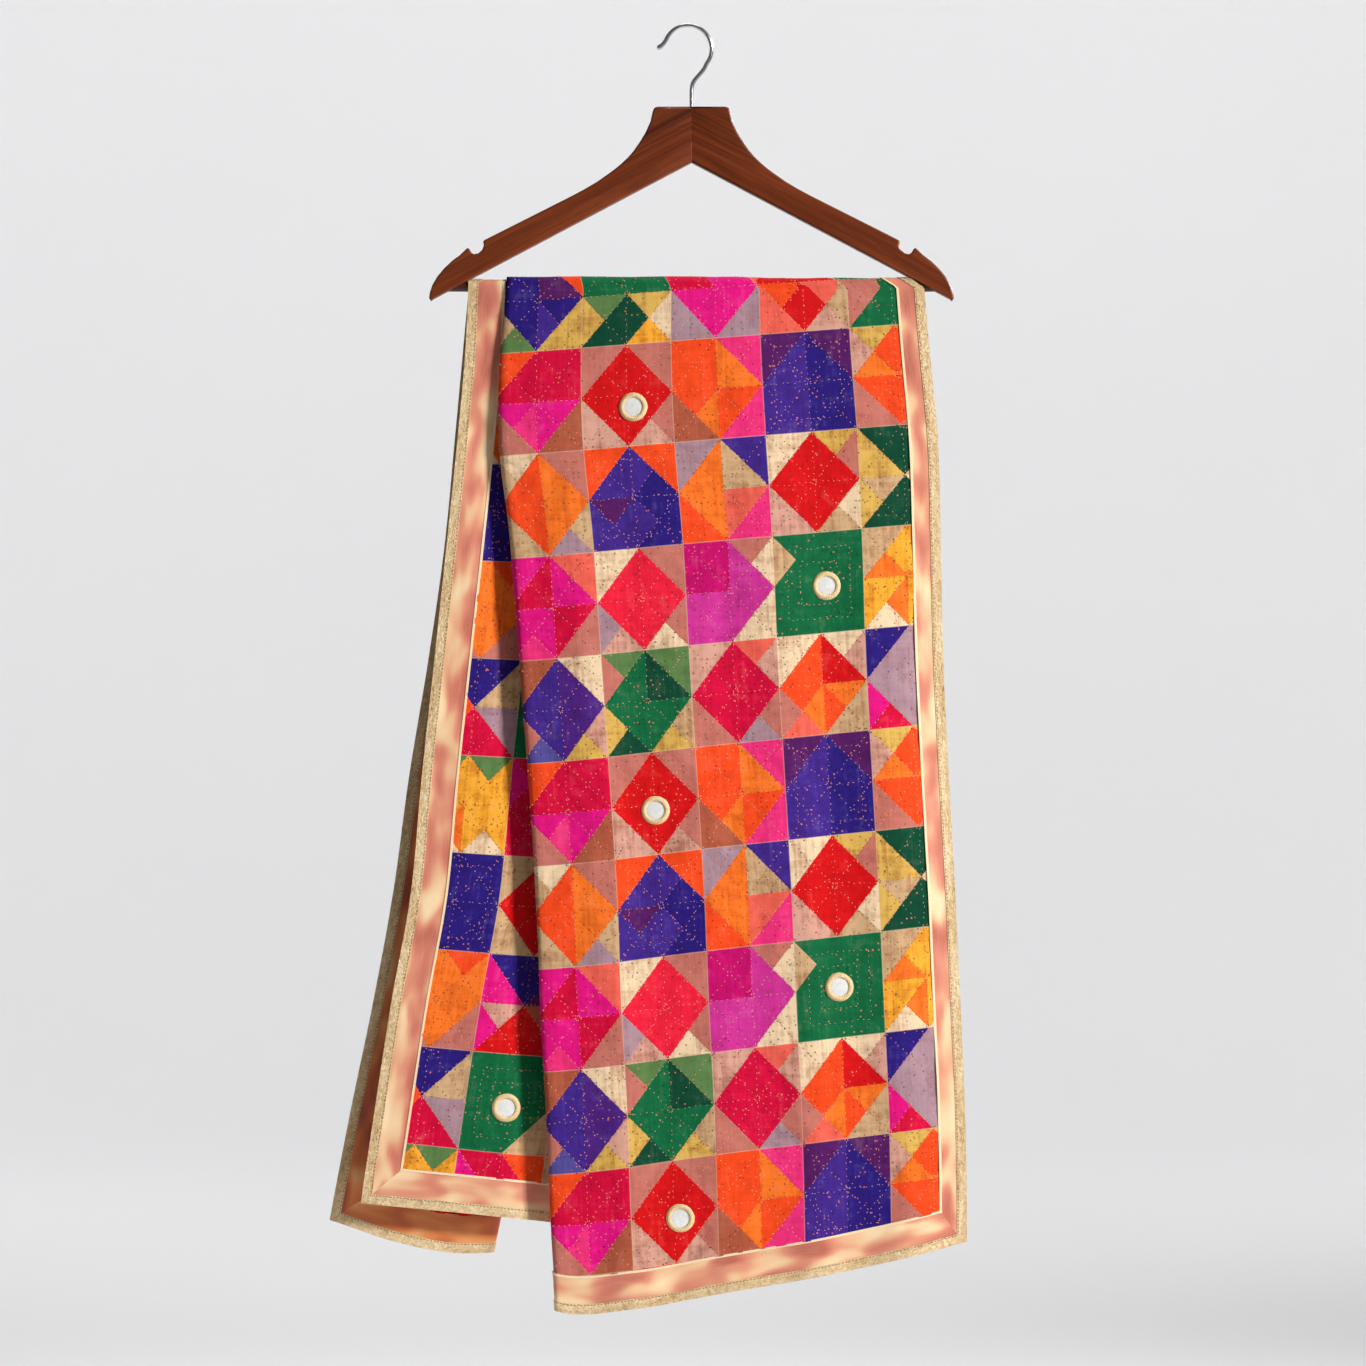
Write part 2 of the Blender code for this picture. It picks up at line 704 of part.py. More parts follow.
def cutter(name, radius, start, end, sides):
    thing = cylinder(name, radius, start, end, sides)
    thing.hide_render = True
    thing.display_type = "WIRE"
    CUTTERS.objects.link(thing)
    return thing


# Middle of the hook's wire before and after its loop, with its thickness over the wire's own
Bend = namedtuple("Bend", "x z thick")
HOOK_SWAN_NECK = (
    Bend(0.0000, NECK_TOP_Z - HOOK_SHAFT_DEPTH, 1.0),
    Bend(0.0000, NECK_TOP_Z, 1.0),
    Bend(0.0000, -0.0530, 1.0),
    Bend(0.0008, -0.0490, 1.0),
    Bend(0.0030, -0.0450, 1.0),
    Bend(0.0062, -0.0406, 1.0),
    Bend(0.0100, -0.0357, 1.0),
)
HOOK_TIP = (
    Bend(-0.0245, -0.0163, 1.0),
    Bend(-0.0268, -0.0176, 1.15),
    Bend(-0.0286, -0.0180, 1.35),
    Bend(-0.0300, -0.0178, 1.15),
    Bend(-0.0308, -0.0176, 0.55),
)


def hook(name, finish):
    """Bent wire: the shaft from inside the wood, a swan neck, the loop and its rounded tip."""
    centre_x, centre_z = HOOK_LOOP_CENTRE
    path = list(HOOK_SWAN_NECK)
    for degrees in places(HOOK_LOOP_START, HOOK_LOOP_END, HOOK_LOOP_STEPS):
        angle = math.radians(degrees)
        path.append(Bend(centre_x + HOOK_LOOP_RADIUS * math.cos(angle),
                         centre_z + HOOK_LOOP_RADIUS * math.sin(angle), 1.0))
    path += HOOK_TIP
    curve = bpy.data.curves.new(name, "CURVE")
    curve.dimensions = "3D"
    curve.bevel_depth = HOOK_WIRE_RADIUS
    curve.bevel_resolution = 2
    curve.use_fill_caps = True
    wire = curve.splines.new("POLY")
    wire.points.add(len(path) - 1)
    for point, bend in zip(wire.points, path):
        point.co = (bend.x, 0.0, bend.z, 1.0)
        point.radius = bend.thick
    curve.materials.append(finish)
    thing = bpy.data.objects.new(name, curve)
    PARTS.objects.link(thing)
    return thing


def hanger():
    wood = material("varnished_wood", (0.22, 0.055, 0.025), 0.35)
    dark_wood = material("dark_wood", (0.045, 0.015, 0.010), 0.45)
    chrome = material("hook_wire", (0.72, 0.72, 0.74), 0.18, 1.0)
    for name, hand in (("hanger_arm_left", -1), ("hanger_arm_right", 1)):
        socket_end = hand * (BAR_HALF_LENGTH + SEAT_GAP)
        socket = cutter(f"socket_{name}", BAR_RADIUS + SEAT_GAP, (hand * SOCKET_INNER_X, 0, BAR_Z),
                        (socket_end, 0, BAR_Z), BAR_SIDES)
        shaft_hole = cutter(f"shaft_hole_{name}", HOOK_WIRE_RADIUS + SEAT_GAP,
                            (0, 0, NECK_TOP_Z - HOOK_SHAFT_DEPTH - SEAT_GAP),
                            (0, 0, NECK_TOP_Z + SHAFT_HOLE_RISE), SHAFT_HOLE_SIDES)
        arm(name, hand, wood, (socket, shaft_hole))
    bar = cylinder("hanger_trouser_bar", BAR_RADIUS, (-BAR_HALF_LENGTH, 0, BAR_Z),
                   (BAR_HALF_LENGTH, 0, BAR_Z), BAR_SIDES)
    bar.data.materials.append(dark_wood)
    bar.data.shade_smooth()
    PARTS.objects.link(bar)
    hook("hanger_hook", chrome)


def dupatta():
    print_silk = material("printed_silk", (0.62, 0.06, 0.08), 0.5)
    satin = material("shot_satin", (0.80, 0.42, 0.26), 0.35)
    tissue = material("gold_tissue", (0.72, 0.58, 0.38), 0.45)
    glass = material("mirror_glass", (0.80, 0.80, 0.78), 0.08, 1.0)
    thread = material("gold_thread", (0.70, 0.50, 0.25), 0.5)
    for drop in DROPS:
        for layer in LAYER_STEPS:
            field_stretch(drop, layer, print_silk)
        borders(drop, satin, tissue)
    mirrors(glass, thread)


clear_scene()
PARTS = collection(COLLECTION)
CUTTERS = collection("cutters")
hanger()
dupatta()
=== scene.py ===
"""Looks for the dupatta that is draped over a wooden hanger's trouser bar.

Metres, +Z up, the front faces -Y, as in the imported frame. A place on the cloth is given
by its cut position, measured across the sheet from the left selvage, and by its run:
the level below the middle of the bar on the front drop, and on over the bar and down
the back drop as the run goes below minus QUARTER_ARC.
"""
import math
from collections import namedtuple
from functools import reduce

import bmesh
import bpy
import numpy as np
from mathutils import Matrix, Vector


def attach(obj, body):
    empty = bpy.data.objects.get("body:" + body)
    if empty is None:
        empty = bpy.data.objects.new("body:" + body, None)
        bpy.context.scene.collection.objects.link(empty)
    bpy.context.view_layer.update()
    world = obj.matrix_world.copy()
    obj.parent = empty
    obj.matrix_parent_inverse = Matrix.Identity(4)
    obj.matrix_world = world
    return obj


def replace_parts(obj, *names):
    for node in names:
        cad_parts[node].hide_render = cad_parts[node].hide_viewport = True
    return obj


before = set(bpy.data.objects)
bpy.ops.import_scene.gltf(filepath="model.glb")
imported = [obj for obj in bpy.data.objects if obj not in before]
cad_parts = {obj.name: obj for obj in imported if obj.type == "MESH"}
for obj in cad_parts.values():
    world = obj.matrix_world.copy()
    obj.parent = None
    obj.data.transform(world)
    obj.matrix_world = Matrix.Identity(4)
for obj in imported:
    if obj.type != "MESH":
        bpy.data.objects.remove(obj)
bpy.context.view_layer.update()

# Sizes shared with the part's source
UNDERSIDE_APEX_Z = -0.1160
UNDERSIDE_SLOPE = 0.5286
BAR_RADIUS = 0.0045
BAR_HALF_LENGTH = 0.2130
BAR_Z = -0.2220
NECK_TOP_Z = -0.0682
WOOD_THICKNESS = 0.013
HOOK_WIRE_RADIUS = 0.0018
HOOK_LOOP_RADIUS = 0.0203
HOOK_LOOP_CENTRE = (-0.0031, -0.0185)
HOOK_LOOP_START = -38
HOOK_SHAFT_DEPTH = 0.030
PRINT_COLUMN = 0.0754
LEFT_BORDER = 0.0317
RIGHT_BORDER = 0.0240
HEM_BORDER = 0.0326
BINDING_WIDTH = 0.0086
LEFT_PART_COLUMN = 0.0446
HIDDEN_COLUMNS = 4
SHOWN_COLUMNS = 4.56
FOLD_PAST_COLUMN = 0.0084
FIRST_COLUMN_CUT = LEFT_BORDER + LEFT_PART_COLUMN + HIDDEN_COLUMNS * PRINT_COLUMN
FOLD_CUT = FIRST_COLUMN_CUT + FOLD_PAST_COLUMN
PRINT_END_CUT = FIRST_COLUMN_CUT + SHOWN_COLUMNS * PRINT_COLUMN
CUT_WIDTH = PRINT_END_CUT + RIGHT_BORDER
ARM_CLEARANCE = 0.0018
QUARTER_ARC = 0.0134
SINK_DEPTH = 0.0012
SINK_START = 0.006
SINK_RUN = 0.045
SINK_DROP = 0.080
FLUTE_FADE = 0.030
FLUTE_GROWTH = 0.350
FLUTE_AT_BAR = 0.15
EDGE_CURL = 0.0060
EDGE_CURL_RUN = 0.060

# Sizes that differ from the part's source: where the hook's round part ends, and how much deeper
# the front flap lies beside the panel's fold
HOOK_LOOP_END = 152
FLAP_DIP = 0.0065
FLAP_DIP_WIDTH = 0.022
FLAP_DIP_GROWTH = 0.250


def table(kind, *values):
    """A table of named rows from plain ones."""
    return tuple(kind(*row) for row in values)


Section = namedtuple("Section", "level selvage fold edge")
FRONT_SECTIONS = table(
    Section,
    (0.0000, -0.1910, -0.1600, 0.1990), (0.0545, -0.1935, -0.1640, 0.2035),
    (0.1230, -0.1995, -0.1650, 0.2100), (0.2215, -0.2095, -0.1545, 0.2130),
    (0.3200, -0.2200, -0.1470, 0.2150), (0.4230, -0.2310, -0.1395, 0.2200),
    (0.5260, -0.2410, -0.1330, 0.2255), (0.6115, -0.2565, -0.1300, 0.2295),
    (0.7055, -0.2710, -0.1245, 0.2335), (0.7830, -0.2825, -0.1215, 0.2350),
    (0.8770, -0.2945, -0.1160, 0.2345),
)
BACK_SECTIONS = table(
    Section,
    (0.0000, -0.1910, -0.1600, 0.1990), (0.1230, -0.2025, -0.1760, 0.2050),
    (0.2215, -0.2120, -0.1890, 0.2085), (0.3200, -0.2260, -0.2020, 0.2110),
    (0.4230, -0.2430, -0.2155, 0.2155), (0.5180, -0.2560, -0.2285, 0.2200),
    (0.6115, -0.2730, -0.2405, 0.2250), (0.7055, -0.2925, -0.2540, 0.2285),
    (0.8300, -0.3165, -0.2637, 0.2300),
)
Depth = namedtuple("Depth", "level flap middle panel")
LAYER_DEPTHS = table(
    Depth,
    (0.000, 0.00535, 0.00675, 0.00815), (0.050, 0.00620, 0.00900, 0.01180),
    (0.150, 0.00750, 0.01200, 0.01650), (0.400, 0.00950, 0.01600, 0.02250),
    (0.880, 0.01150, 0.01900, 0.02650),
)
Hem = namedtuple("Hem", "cut level")
FRONT_HEM = table(
    Hem,
    (0.0000, 0.7845), (0.1610, 0.8010), (0.2660, 0.8160), (0.3300, 0.8500), (0.3863, 0.8760),
    (0.4533, 0.8730), (0.5363, 0.8590), (0.6143, 0.8460), (0.6933, 0.8295), (0.7458, 0.8165),
)
BACK_HEM = table(
    Hem,
    (0.0000, 0.8010), (0.0634, 0.8205), (0.1090, 0.8290), (0.1470, 0.8290), (0.2455, 0.8050),
    (0.3200, 0.7800), (0.3860, 0.7600), (0.5000, 0.7640), (0.6200, 0.7790), (0.7458, 0.7970),
)
Flute = namedtuple("Flute", "across half_width height lean")
FRONT_FLUTES = table(
    Flute,
    (0.048, 0.024, 0.0034, 0.020), (0.128, 0.030, 0.0022, 0.030), (0.214, 0.028, 0.0040, 0.015),
    (0.296, 0.022, 0.0030, 0.010),
)
BACK_FLUTES = table(
    Flute,
    (0.060, 0.028, 0.0030, 0.010), (0.165, 0.034, 0.0038, -0.010), (0.280, 0.026, 0.0030, 0.020),
)

# Lines between print rows: the run of row 1's top edge, and the pitch, across the cut
RowLine = namedtuple("RowLine", "cut first pitch")
ROW_LINES = table(
    RowLine,
    (0.0000, 0.0691, 0.08265), (0.1500, 0.0691, 0.08450), (0.3779, 0.0587, 0.08760),
    (0.5500, 0.0459, 0.08665), (0.7218, 0.0330, 0.08570),
)


class Profile:
    """A smooth curve through one column of a table."""

    def __init__(self, rows, column):
        self.at = np.array([row[0] for row in rows])
        self.value = np.array([getattr(row, column) for row in rows])
        self.slope = np.gradient(self.value, self.at)

    def __call__(self, at):
        at = np.clip(at, self.at[0], self.at[-1])
        i = np.clip(np.searchsorted(self.at, at, side="right"), 1, len(self.at) - 1) - 1
        span = self.at[i + 1] - self.at[i]
        t = (at - self.at[i]) / span
        rise = t * t * (3 - 2 * t)
        start_pull = t * (1 - t) ** 2 * span * self.slope[i]
        end_pull = t * t * (1 - t) * span * self.slope[i + 1]
        return self.value[i] * (1 - rise) + self.value[i + 1] * rise + start_pull - end_pull


def ramp(t):
    """Ease from 0 to 1 while t goes from 0 to 1."""
    t = np.clip(t, 0.0, 1.0)
    return t * t * (3 - 2 * t)


DEPTH = {name: Profile(LAYER_DEPTHS, name) for name in ("flap", "middle", "panel")}
Layout = namedtuple("Layout", "flap middle panel inner_turn outer_turn selvage fold turn_x scale breaks")


def height(level, depth):
    """Height of a level: round the bar while it is below zero, then straight down."""
    turned = depth * np.sin(np.maximum(-level, 0.0) / QUARTER_ARC * math.pi / 2)
    return BAR_Z + np.where(level < 0, turned, -level)


def arm_reach(z):
    """How far out the cloth may lie at a height, under the hanger's arms."""
    return (UNDERSIDE_APEX_Z - z - ARM_CLEARANCE) / UNDERSIDE_SLOPE


TOP_TURN = (LAYER_DEPTHS[0].panel - LAYER_DEPTHS[0].middle) / 2
BACK_EASE = (BACK_SECTIONS[0].edge - BACK_SECTIONS[0].fold - TOP_TURN) / (CUT_WIDTH - FOLD_CUT)


def relief_of(flutes, across, level):
    out = 0.0
    for flute in flutes:
        offset = (across - flute.across - flute.lean * level) / flute.half_width
        out = out + flute.height * np.exp(-offset * offset)
    return out


class Drop:
    """One side of the draped cloth: the front with facing -1 or the back with facing 1."""

    def __init__(self, name, facing, sections, hem, flutes, other_flutes):
        self.name = name
        self.facing = facing
        self.selvage = Profile(sections, "selvage")
        self.fold = Profile(sections, "fold")
        self.edge = Profile(sections, "edge")
        self.hem = Profile(hem, "level")
        self.flutes = flutes
        self.other_flutes = other_flutes

    def fold_cut(self, level):
        if self.name == "front":
            return np.full_like(level, FOLD_CUT)
        level = np.maximum(level, 0.0)
        turn = (DEPTH["panel"](level) - DEPTH["middle"](level)) / 2
        return CUT_WIDTH - (self.edge(level) - self.fold(level) - turn) / BACK_EASE

    def layout(self, level):
        on = np.maximum(level, 0.0)
        flap, middle, panel = (DEPTH[name](on) for name in ("flap", "middle", "panel"))
        inner_turn = (middle - flap) / 2
        outer_turn = (panel - middle) / 2
        fold = self.fold(on)
        selvage = np.maximum(self.selvage(on), -arm_reach(height(level, flap)))
        edge = np.minimum(self.edge(on), arm_reach(height(level, panel - SINK_DEPTH)))
        fold_cut = self.fold_cut(level)
        turns = math.pi * (inner_turn + outer_turn)
        turn_x = (fold_cut + selvage + fold + 2 * inner_turn + outer_turn - turns) / 2
        flap_end = turn_x - inner_turn - selvage
        return_start = flap_end + math.pi * inner_turn
        return_end = fold_cut - math.pi * outer_turn
        scale = (edge - fold - outer_turn) / (CUT_WIDTH - fold_cut)
        return Layout(flap, middle, panel, inner_turn, outer_turn, selvage, fold, turn_x, scale,
                      (flap_end, return_start, return_end, fold_cut))

    def relief(self, cut, level, lay, x):
        """How far the outer panel stands out of its even depth."""
        across = cut - lay.breaks[3]
        growth = FLUTE_AT_BAR + (1 - FLUTE_AT_BAR) * ramp(level / FLUTE_GROWTH)
        shared = np.clip(-level / QUARTER_ARC, 0.0, 1.0) / 2
        out = relief_of(self.flutes, across, level) * (1 - shared)
        out += relief_of(self.other_flutes, across, level) * shared
        out *= growth * ramp(across / FLUTE_FADE)
        curl = ramp((cut - CUT_WIDTH + EDGE_CURL_RUN) / EDGE_CURL_RUN)
        out -= EDGE_CURL * curl * curl * ramp(level / FLUTE_GROWTH)
        sink = ramp((x - lay.turn_x - SINK_START) / SINK_RUN) * (1 - ramp(level / SINK_DROP))
        return out - SINK_DEPTH * sink

    def at(self, cut, level):
        lay = self.layout(level)
        flap_end, return_start, return_end, fold_cut = lay.breaks
        inner = np.clip((cut - flap_end) / lay.inner_turn, 0.0, math.pi)
        outer = np.clip((cut - return_end) / lay.outer_turn, 0.0, math.pi)
        panel_x = lay.fold + lay.outer_turn + (cut - fold_cut) * lay.scale
        parts = (cut < flap_end, cut < return_start, cut < return_end, cut < fold_cut)
        x = np.select(parts, (
            lay.selvage + cut,
            lay.turn_x + lay.inner_turn * (np.sin(inner) - 1),
            lay.turn_x - lay.inner_turn - (cut - return_start),
            lay.fold + lay.outer_turn * (1 - np.sin(outer)),
        ), panel_x)
        past_fold = (lay.selvage + cut - lay.fold) / FLAP_DIP_WIDTH
        dip = FLAP_DIP * np.exp(-past_fold * past_fold) * ramp(level / FLAP_DIP_GROWTH)
        depth = np.select(parts, (
            lay.flap - (dip if self.name == "front" else 0.0),
            lay.flap + lay.inner_turn * (1 - np.cos(inner)),
            lay.middle,
            lay.middle + lay.outer_turn * (1 - np.cos(outer)),
        ), lay.panel + self.relief(cut, level, lay, panel_x))
        angle = np.maximum(-level, 0.0) / QUARTER_ARC * math.pi / 2
        return np.stack((x, self.facing * depth * np.cos(angle), height(level, depth)), axis=-1)


FRONT = Drop("front", -1, FRONT_SECTIONS, FRONT_HEM, FRONT_FLUTES, BACK_FLUTES)
BACK = Drop("back", 1, BACK_SECTIONS, BACK_HEM, BACK_FLUTES, FRONT_FLUTES)


def place(cut, run):
    """Middle of the cloth. Runs under minus QUARTER_ARC are on the back drop."""
    cut = np.asarray(cut, float)
    run = np.asarray(run, float)
    cut, run = np.broadcast_arrays(cut, run)
    on_front = run > -QUARTER_ARC
    front = FRONT.at(cut, run)
    back = BACK.at(cut, -2 * QUARTER_ARC - run)
    return np.where(on_front[..., None], front, back)


NORMAL_STEP = 0.0004


def outward(cut, run):
    """Direction that the printed side faces."""
    down = place(cut, run + NORMAL_STEP) - place(cut, run - NORMAL_STEP)
    across = place(cut + NORMAL_STEP, run) - place(cut - NORMAL_STEP, run)
    normal = np.cross(down, across)
    return normal / np.maximum(np.linalg.norm(normal, axis=-1, keepdims=True), 1e-12)


def raised(cut, run, lift):
    return place(cut, run) + outward(cut, run) * np.asarray(lift)[..., None]


ROW_FIRST = Profile(ROW_LINES, "first")
ROW_PITCH = Profile(ROW_LINES, "pitch")


def run_of_row(cut, row):
    return ROW_FIRST(cut) + (row - 1) * ROW_PITCH(cut)


def front_end(cut, above):
    """Run at a height above the front hem."""
    return FRONT.hem(cut) - above


def back_end(cut, above):
    """Run at a height above the back hem."""
    return -2 * QUARTER_ARC - BACK.hem(cut) + above


# Waves of the cloth start at the bar and have their full height this far below it
WAVE_GROWTH = 0.16
QUILT_PUCKERS = 4


def wave_room(run):
    """How much of their height the waves have, from 0 at the bar to 1."""
    return ramp((np.abs(run + QUARTER_ARC) - QUARTER_ARC) / WAVE_GROWTH)


def pucker(cut, run):
    """Small puckers that the quilting draws in the silk, where there is room for them."""
    row = (run - ROW_FIRST(cut)) / ROW_PITCH(cut)
    column = (cut - FIRST_COLUMN_CUT) / PRINT_COLUMN
    turns = 2 * math.pi * QUILT_PUCKERS
    quilted = np.cos(turns * (column + row)) + np.cos(turns * (column - row))
    drawn = np.sin(41 * cut + 3 * run) * np.sin(190 * cut - 17 * run + 2 * np.sin(23 * run))
    wavy = np.sin(67 * run + 9 * np.sin(13 * cut)) * np.sin(31 * cut + 1.3)
    room = 0.15 + 0.85 * wave_room(run)
    return room * (0.00022 * quilted + 0.00034 * drawn + 0.00040 * wavy)


def edge_waves(cut, run):
    """Slight waviness of the borders, where there is room for it."""
    wave = np.sin(36 * run + 11 * cut) + 0.6 * np.sin(83 * run - 25 * cut + 1.1)
    return 0.00045 * wave * wave_room(run)


# Paints

PAINTS = {
    "I": (40, 22, 120), "V": (64, 36, 136), "D": (84, 22, 96), "M": (230, 12, 128),
    "P": (242, 48, 124), "K": (214, 0, 58), "R": (214, 8, 14), "T": (246, 74, 24),
    "A": (250, 118, 34), "Y": (246, 168, 48), "W": (218, 174, 84), "C": (238, 209, 170),
    "E": (207, 168, 124), "Q": (214, 158, 138), "S": (196, 114, 100), "N": (238, 98, 80),
    "L": (170, 136, 146), "G": (8, 104, 60), "H": (0, 70, 46), "U": (92, 128, 72),
    "B": (176, 88, 62), "F": (76, 32, 128), "J": (238, 28, 58), "X": (196, 0, 104),
    "O": (206, 48, 146), "Z": (84, 76, 150),
}


def linear(rgb):
    """Linear colour of an 8-bit one."""
    value = np.array(rgb, float) / 255
    return tuple(np.where(value <= 0.04045, value / 12.92, ((value + 0.055) / 1.055) ** 2.4))


# Patches of each block, for its quarters top left, top right, bottom left and bottom right.
# In a quarter: the patch on the block's top or bottom edge, the one on its side edge, the
# one on the upright middle line and the one on the level middle line.
BlockRow = namedtuple("BlockRow", "a b c d e c0 c1 c2 c3 c4")
PRINT_ROWS = (
    BlockRow(
        a="ITIT IEIE KTKT KLKL", b="GGGG GGGG GGGG EEGG", c="CCRR WSRR QQRR ECRR",
        d="DDVV DDII VVVV IIII", e="CCRT CQRR NSAT EETA", c0="BBVV CCFF ZSVV WQFF",
        c1="USGG UUHH HWGG WEGG", c2="QQKK NQKK SSKK LSKK", c3="CCTT CQRR NSAT EETA",
        c4="IILL LLLL KMLL LLLL"),
    BlockRow(
        a="UYYY UYYY CYAY CYYY", b="KMKK TTKK KKKK KKKK", c="EEYA YYYA CYAY CYYY",
        d="AAKK RRKK SSPM BBMM", e="TAAA PPRA ATAT PPTT", c0="TTKK KKKK SSPM BBMM",
        c1="SSRR SSRR QQRR QSRR", c2="TTTT PPAA BBAT PPTT", c3="DDVV DDII VVVV IIII",
        c4="WQTA WQTA SSTT SSTT"),
    BlockRow(
        a="IIII IIII IIII IIII", b="EERR EERR EERR EERR", c="HWHW HCHC HWHE HCHC",
        d="CCTT SSAA EETT LLAA", e="LLAA VVVE ATAA PPNN", c0="CETT SSAA EETT LEAA",
        c1="TTVV TTVI VVVD IIVI", c2="LLAA VVEE TTAA PPNN", c3="CCRR WSRR QQRR ECRR",
        c4="HWHW HCHC HWHE HCHC"),
    BlockRow(
        a="AAAA TAAA SAAA SSAA", b="IMIM IDID RMRQ RBRB", c="CCPR SSRP LLRP CCRR",
        d="MMMK NNKM PPMK SSKK", e="MMMM LCMM MMMM CCMM", c0="MMKK NNMM PMMM SSKK",
        c1="CCJJ SSJJ QLJJ CSJJ", c2="XXXX SCOO OOOO CCOO", c3="GEGG GGGG GGGG GGGG",
        c4="EEYA YYYA CYAY CYYY"),
)
# The row at the top of the front drop differs from the others of its kind
TOP_ROW = PRINT_ROWS[0]._replace(c0="IIII TTDD UEII WWVI", c1="GGGG GGGG HWHU YCHW",
                                 c2="KKKK MMMM LLMM LLMM", c3="NNRR QERR NNRT QERN",
                                 c4="GGGG GGGG GSGS GGGG")

FIRST_BLOCK, LAST_BLOCK = -5, 4
CELLS = 16
COLOUR_NAMES = "".join(PAINTS)
PAINT_TABLE = np.array([[*linear(PAINTS[name]), 1.0] for name in COLOUR_NAMES])


def paints_of(patches):
    """Numbers in the paint table of a block's patches."""
    return [COLOUR_NAMES.index(letter) for letter in patches.replace(" ", "")]


BLOCK_TABLE = np.array([[paints_of(patches) for patches in blocks] for blocks in (*PRINT_ROWS, TOP_ROW)])


def paint_index(column, row, u, v):
    """Numbers in the paint table for places in the print: block column and row, u and v in it."""
    kind = np.where(row == 0, len(PRINT_ROWS), row % 4)
    quarter = (u >= 0.5) + 2 * (v >= 0.5)
    a = np.minimum(u, 1 - u) * 2
    b = np.minimum(v, 1 - v) * 2
    part = np.where(a + b < 1, np.where(b < a, 0, 1), np.where(a > b, 2, 3))
    return BLOCK_TABLE[kind, column - FIRST_BLOCK, quarter * 4 + part]


# Materials

NOISE_SPAN = (0.3, 0.7)


class Nodes:
    """Short ways to make the nodes of one material."""

    def __init__(self, name):
        self.material = bpy.data.materials.new(name)
        self.material.use_nodes = True
        self.tree = self.material.node_tree
        self.shader = self.tree.nodes["Principled BSDF"]

    def put(self, value, socket):
        """Joins a socket to another one, or gives it a number or a colour."""
        if isinstance(value, bpy.types.NodeSocket):
            self.tree.links.new(value, socket)
        elif isinstance(value, tuple) and len(value) == 3 and socket.type == "RGBA":
            socket.default_value = (*value, 1.0)
        else:
            socket.default_value = value

    def add(self, kind, *values, **settings):
        """A node with these settings, and with values in its first inputs."""
        node = self.tree.nodes.new(kind)
        for key, value in settings.items():
            setattr(node, key, value)
        for value, socket in zip(values, node.inputs):
            self.put(value, socket)
        return node

    def fill(self, node, **values):
        """Puts values in the inputs that they are named after."""
        for key, value in values.items():
            self.put(value, node.inputs[key.replace("_", " ")])
        return node

    def set(self, **values):
        """Fills the shader, which completes the material."""
        self.fill(self.shader, **values)
        return self.material

    def coords(self, kind):
        return self.add("ShaderNodeTexCoord").outputs[kind]

    def axes(self, vector):
        return self.add("ShaderNodeSeparateXYZ", vector).outputs

    def math(self, operation, *values):
        return self.add("ShaderNodeMath", *values, operation=operation).outputs[0]

    def times(self, *values):
        return reduce(lambda a, b: self.math("MULTIPLY", a, b), values)

    def total(self, *values):
        return reduce(lambda a, b: self.math("ADD", a, b), values)

    def mix(self, factor, a, b, blend="MIX"):
        node = self.add("ShaderNodeMix", factor, data_type="RGBA", blend_type=blend)
        self.put(a, node.inputs[6])
        self.put(b, node.inputs[7])
        return node.outputs[2]

    def mapping(self, coords, scale=(1, 1, 1), turn=(0, 0, 0)):
        node = self.add("ShaderNodeMapping")
        return self.fill(node, Vector=coords, Scale=scale, Rotation=turn).outputs[0]

    def noise(self, coords, scale, detail, rough, distortion=0.0):
        node = self.add("ShaderNodeTexNoise")
        self.fill(node, Vector=coords, Scale=scale, Detail=detail, Roughness=rough, Distortion=distortion)
        return node.outputs["Fac"]

    def stretched(self, coords, scale, *values):
        """Noise with a scale of its own along each axis."""
        return self.noise(self.mapping(coords, scale), 1.0, *values)

    def ramp(self, factor, stops):
        """Colours between 8-bit ones at their places."""
        node = self.add("ShaderNodeValToRGB", factor)
        band = node.color_ramp
        while len(band.elements) < len(stops):
            band.elements.new(0.5)
        for element, (where, rgb) in zip(band.elements, stops):
            element.position = where
            element.color = (*linear(rgb), 1.0)
        return node.outputs[0]

    def range(self, value, low, high, to_low=0.0, to_high=1.0):
        node = self.fill(self.add("ShaderNodeMapRange"), Value=value, From_Min=low, From_Max=high)
        return self.fill(node, To_Min=to_low, To_Max=to_high).outputs[0]

    def between(self, noise, low, high):
        """Carries the usual span of a noise over to these limits."""
        return self.range(noise, *NOISE_SPAN, low, high)

    def bump(self, relief, distance, strength, normal=None):
        node = self.fill(self.add("ShaderNodeBump"), Height=relief, Distance=distance, Strength=strength)
        if normal is not None:
            self.fill(node, Normal=normal)
        return node.outputs[0]

    def weave(self, parts, pitch):
        """Height of a plain weave with threads this far apart, for coordinates in metres."""
        turns = 2 * math.pi / pitch
        return self.times(*(self.math("SINE", self.times(parts[axis], turns)) for axis in (0, 1)))


SEED_PITCH = 0.0044
SILK_THREAD = 0.0009
SATIN_THREAD = 0.0006
TISSUE_THREAD = 0.0008


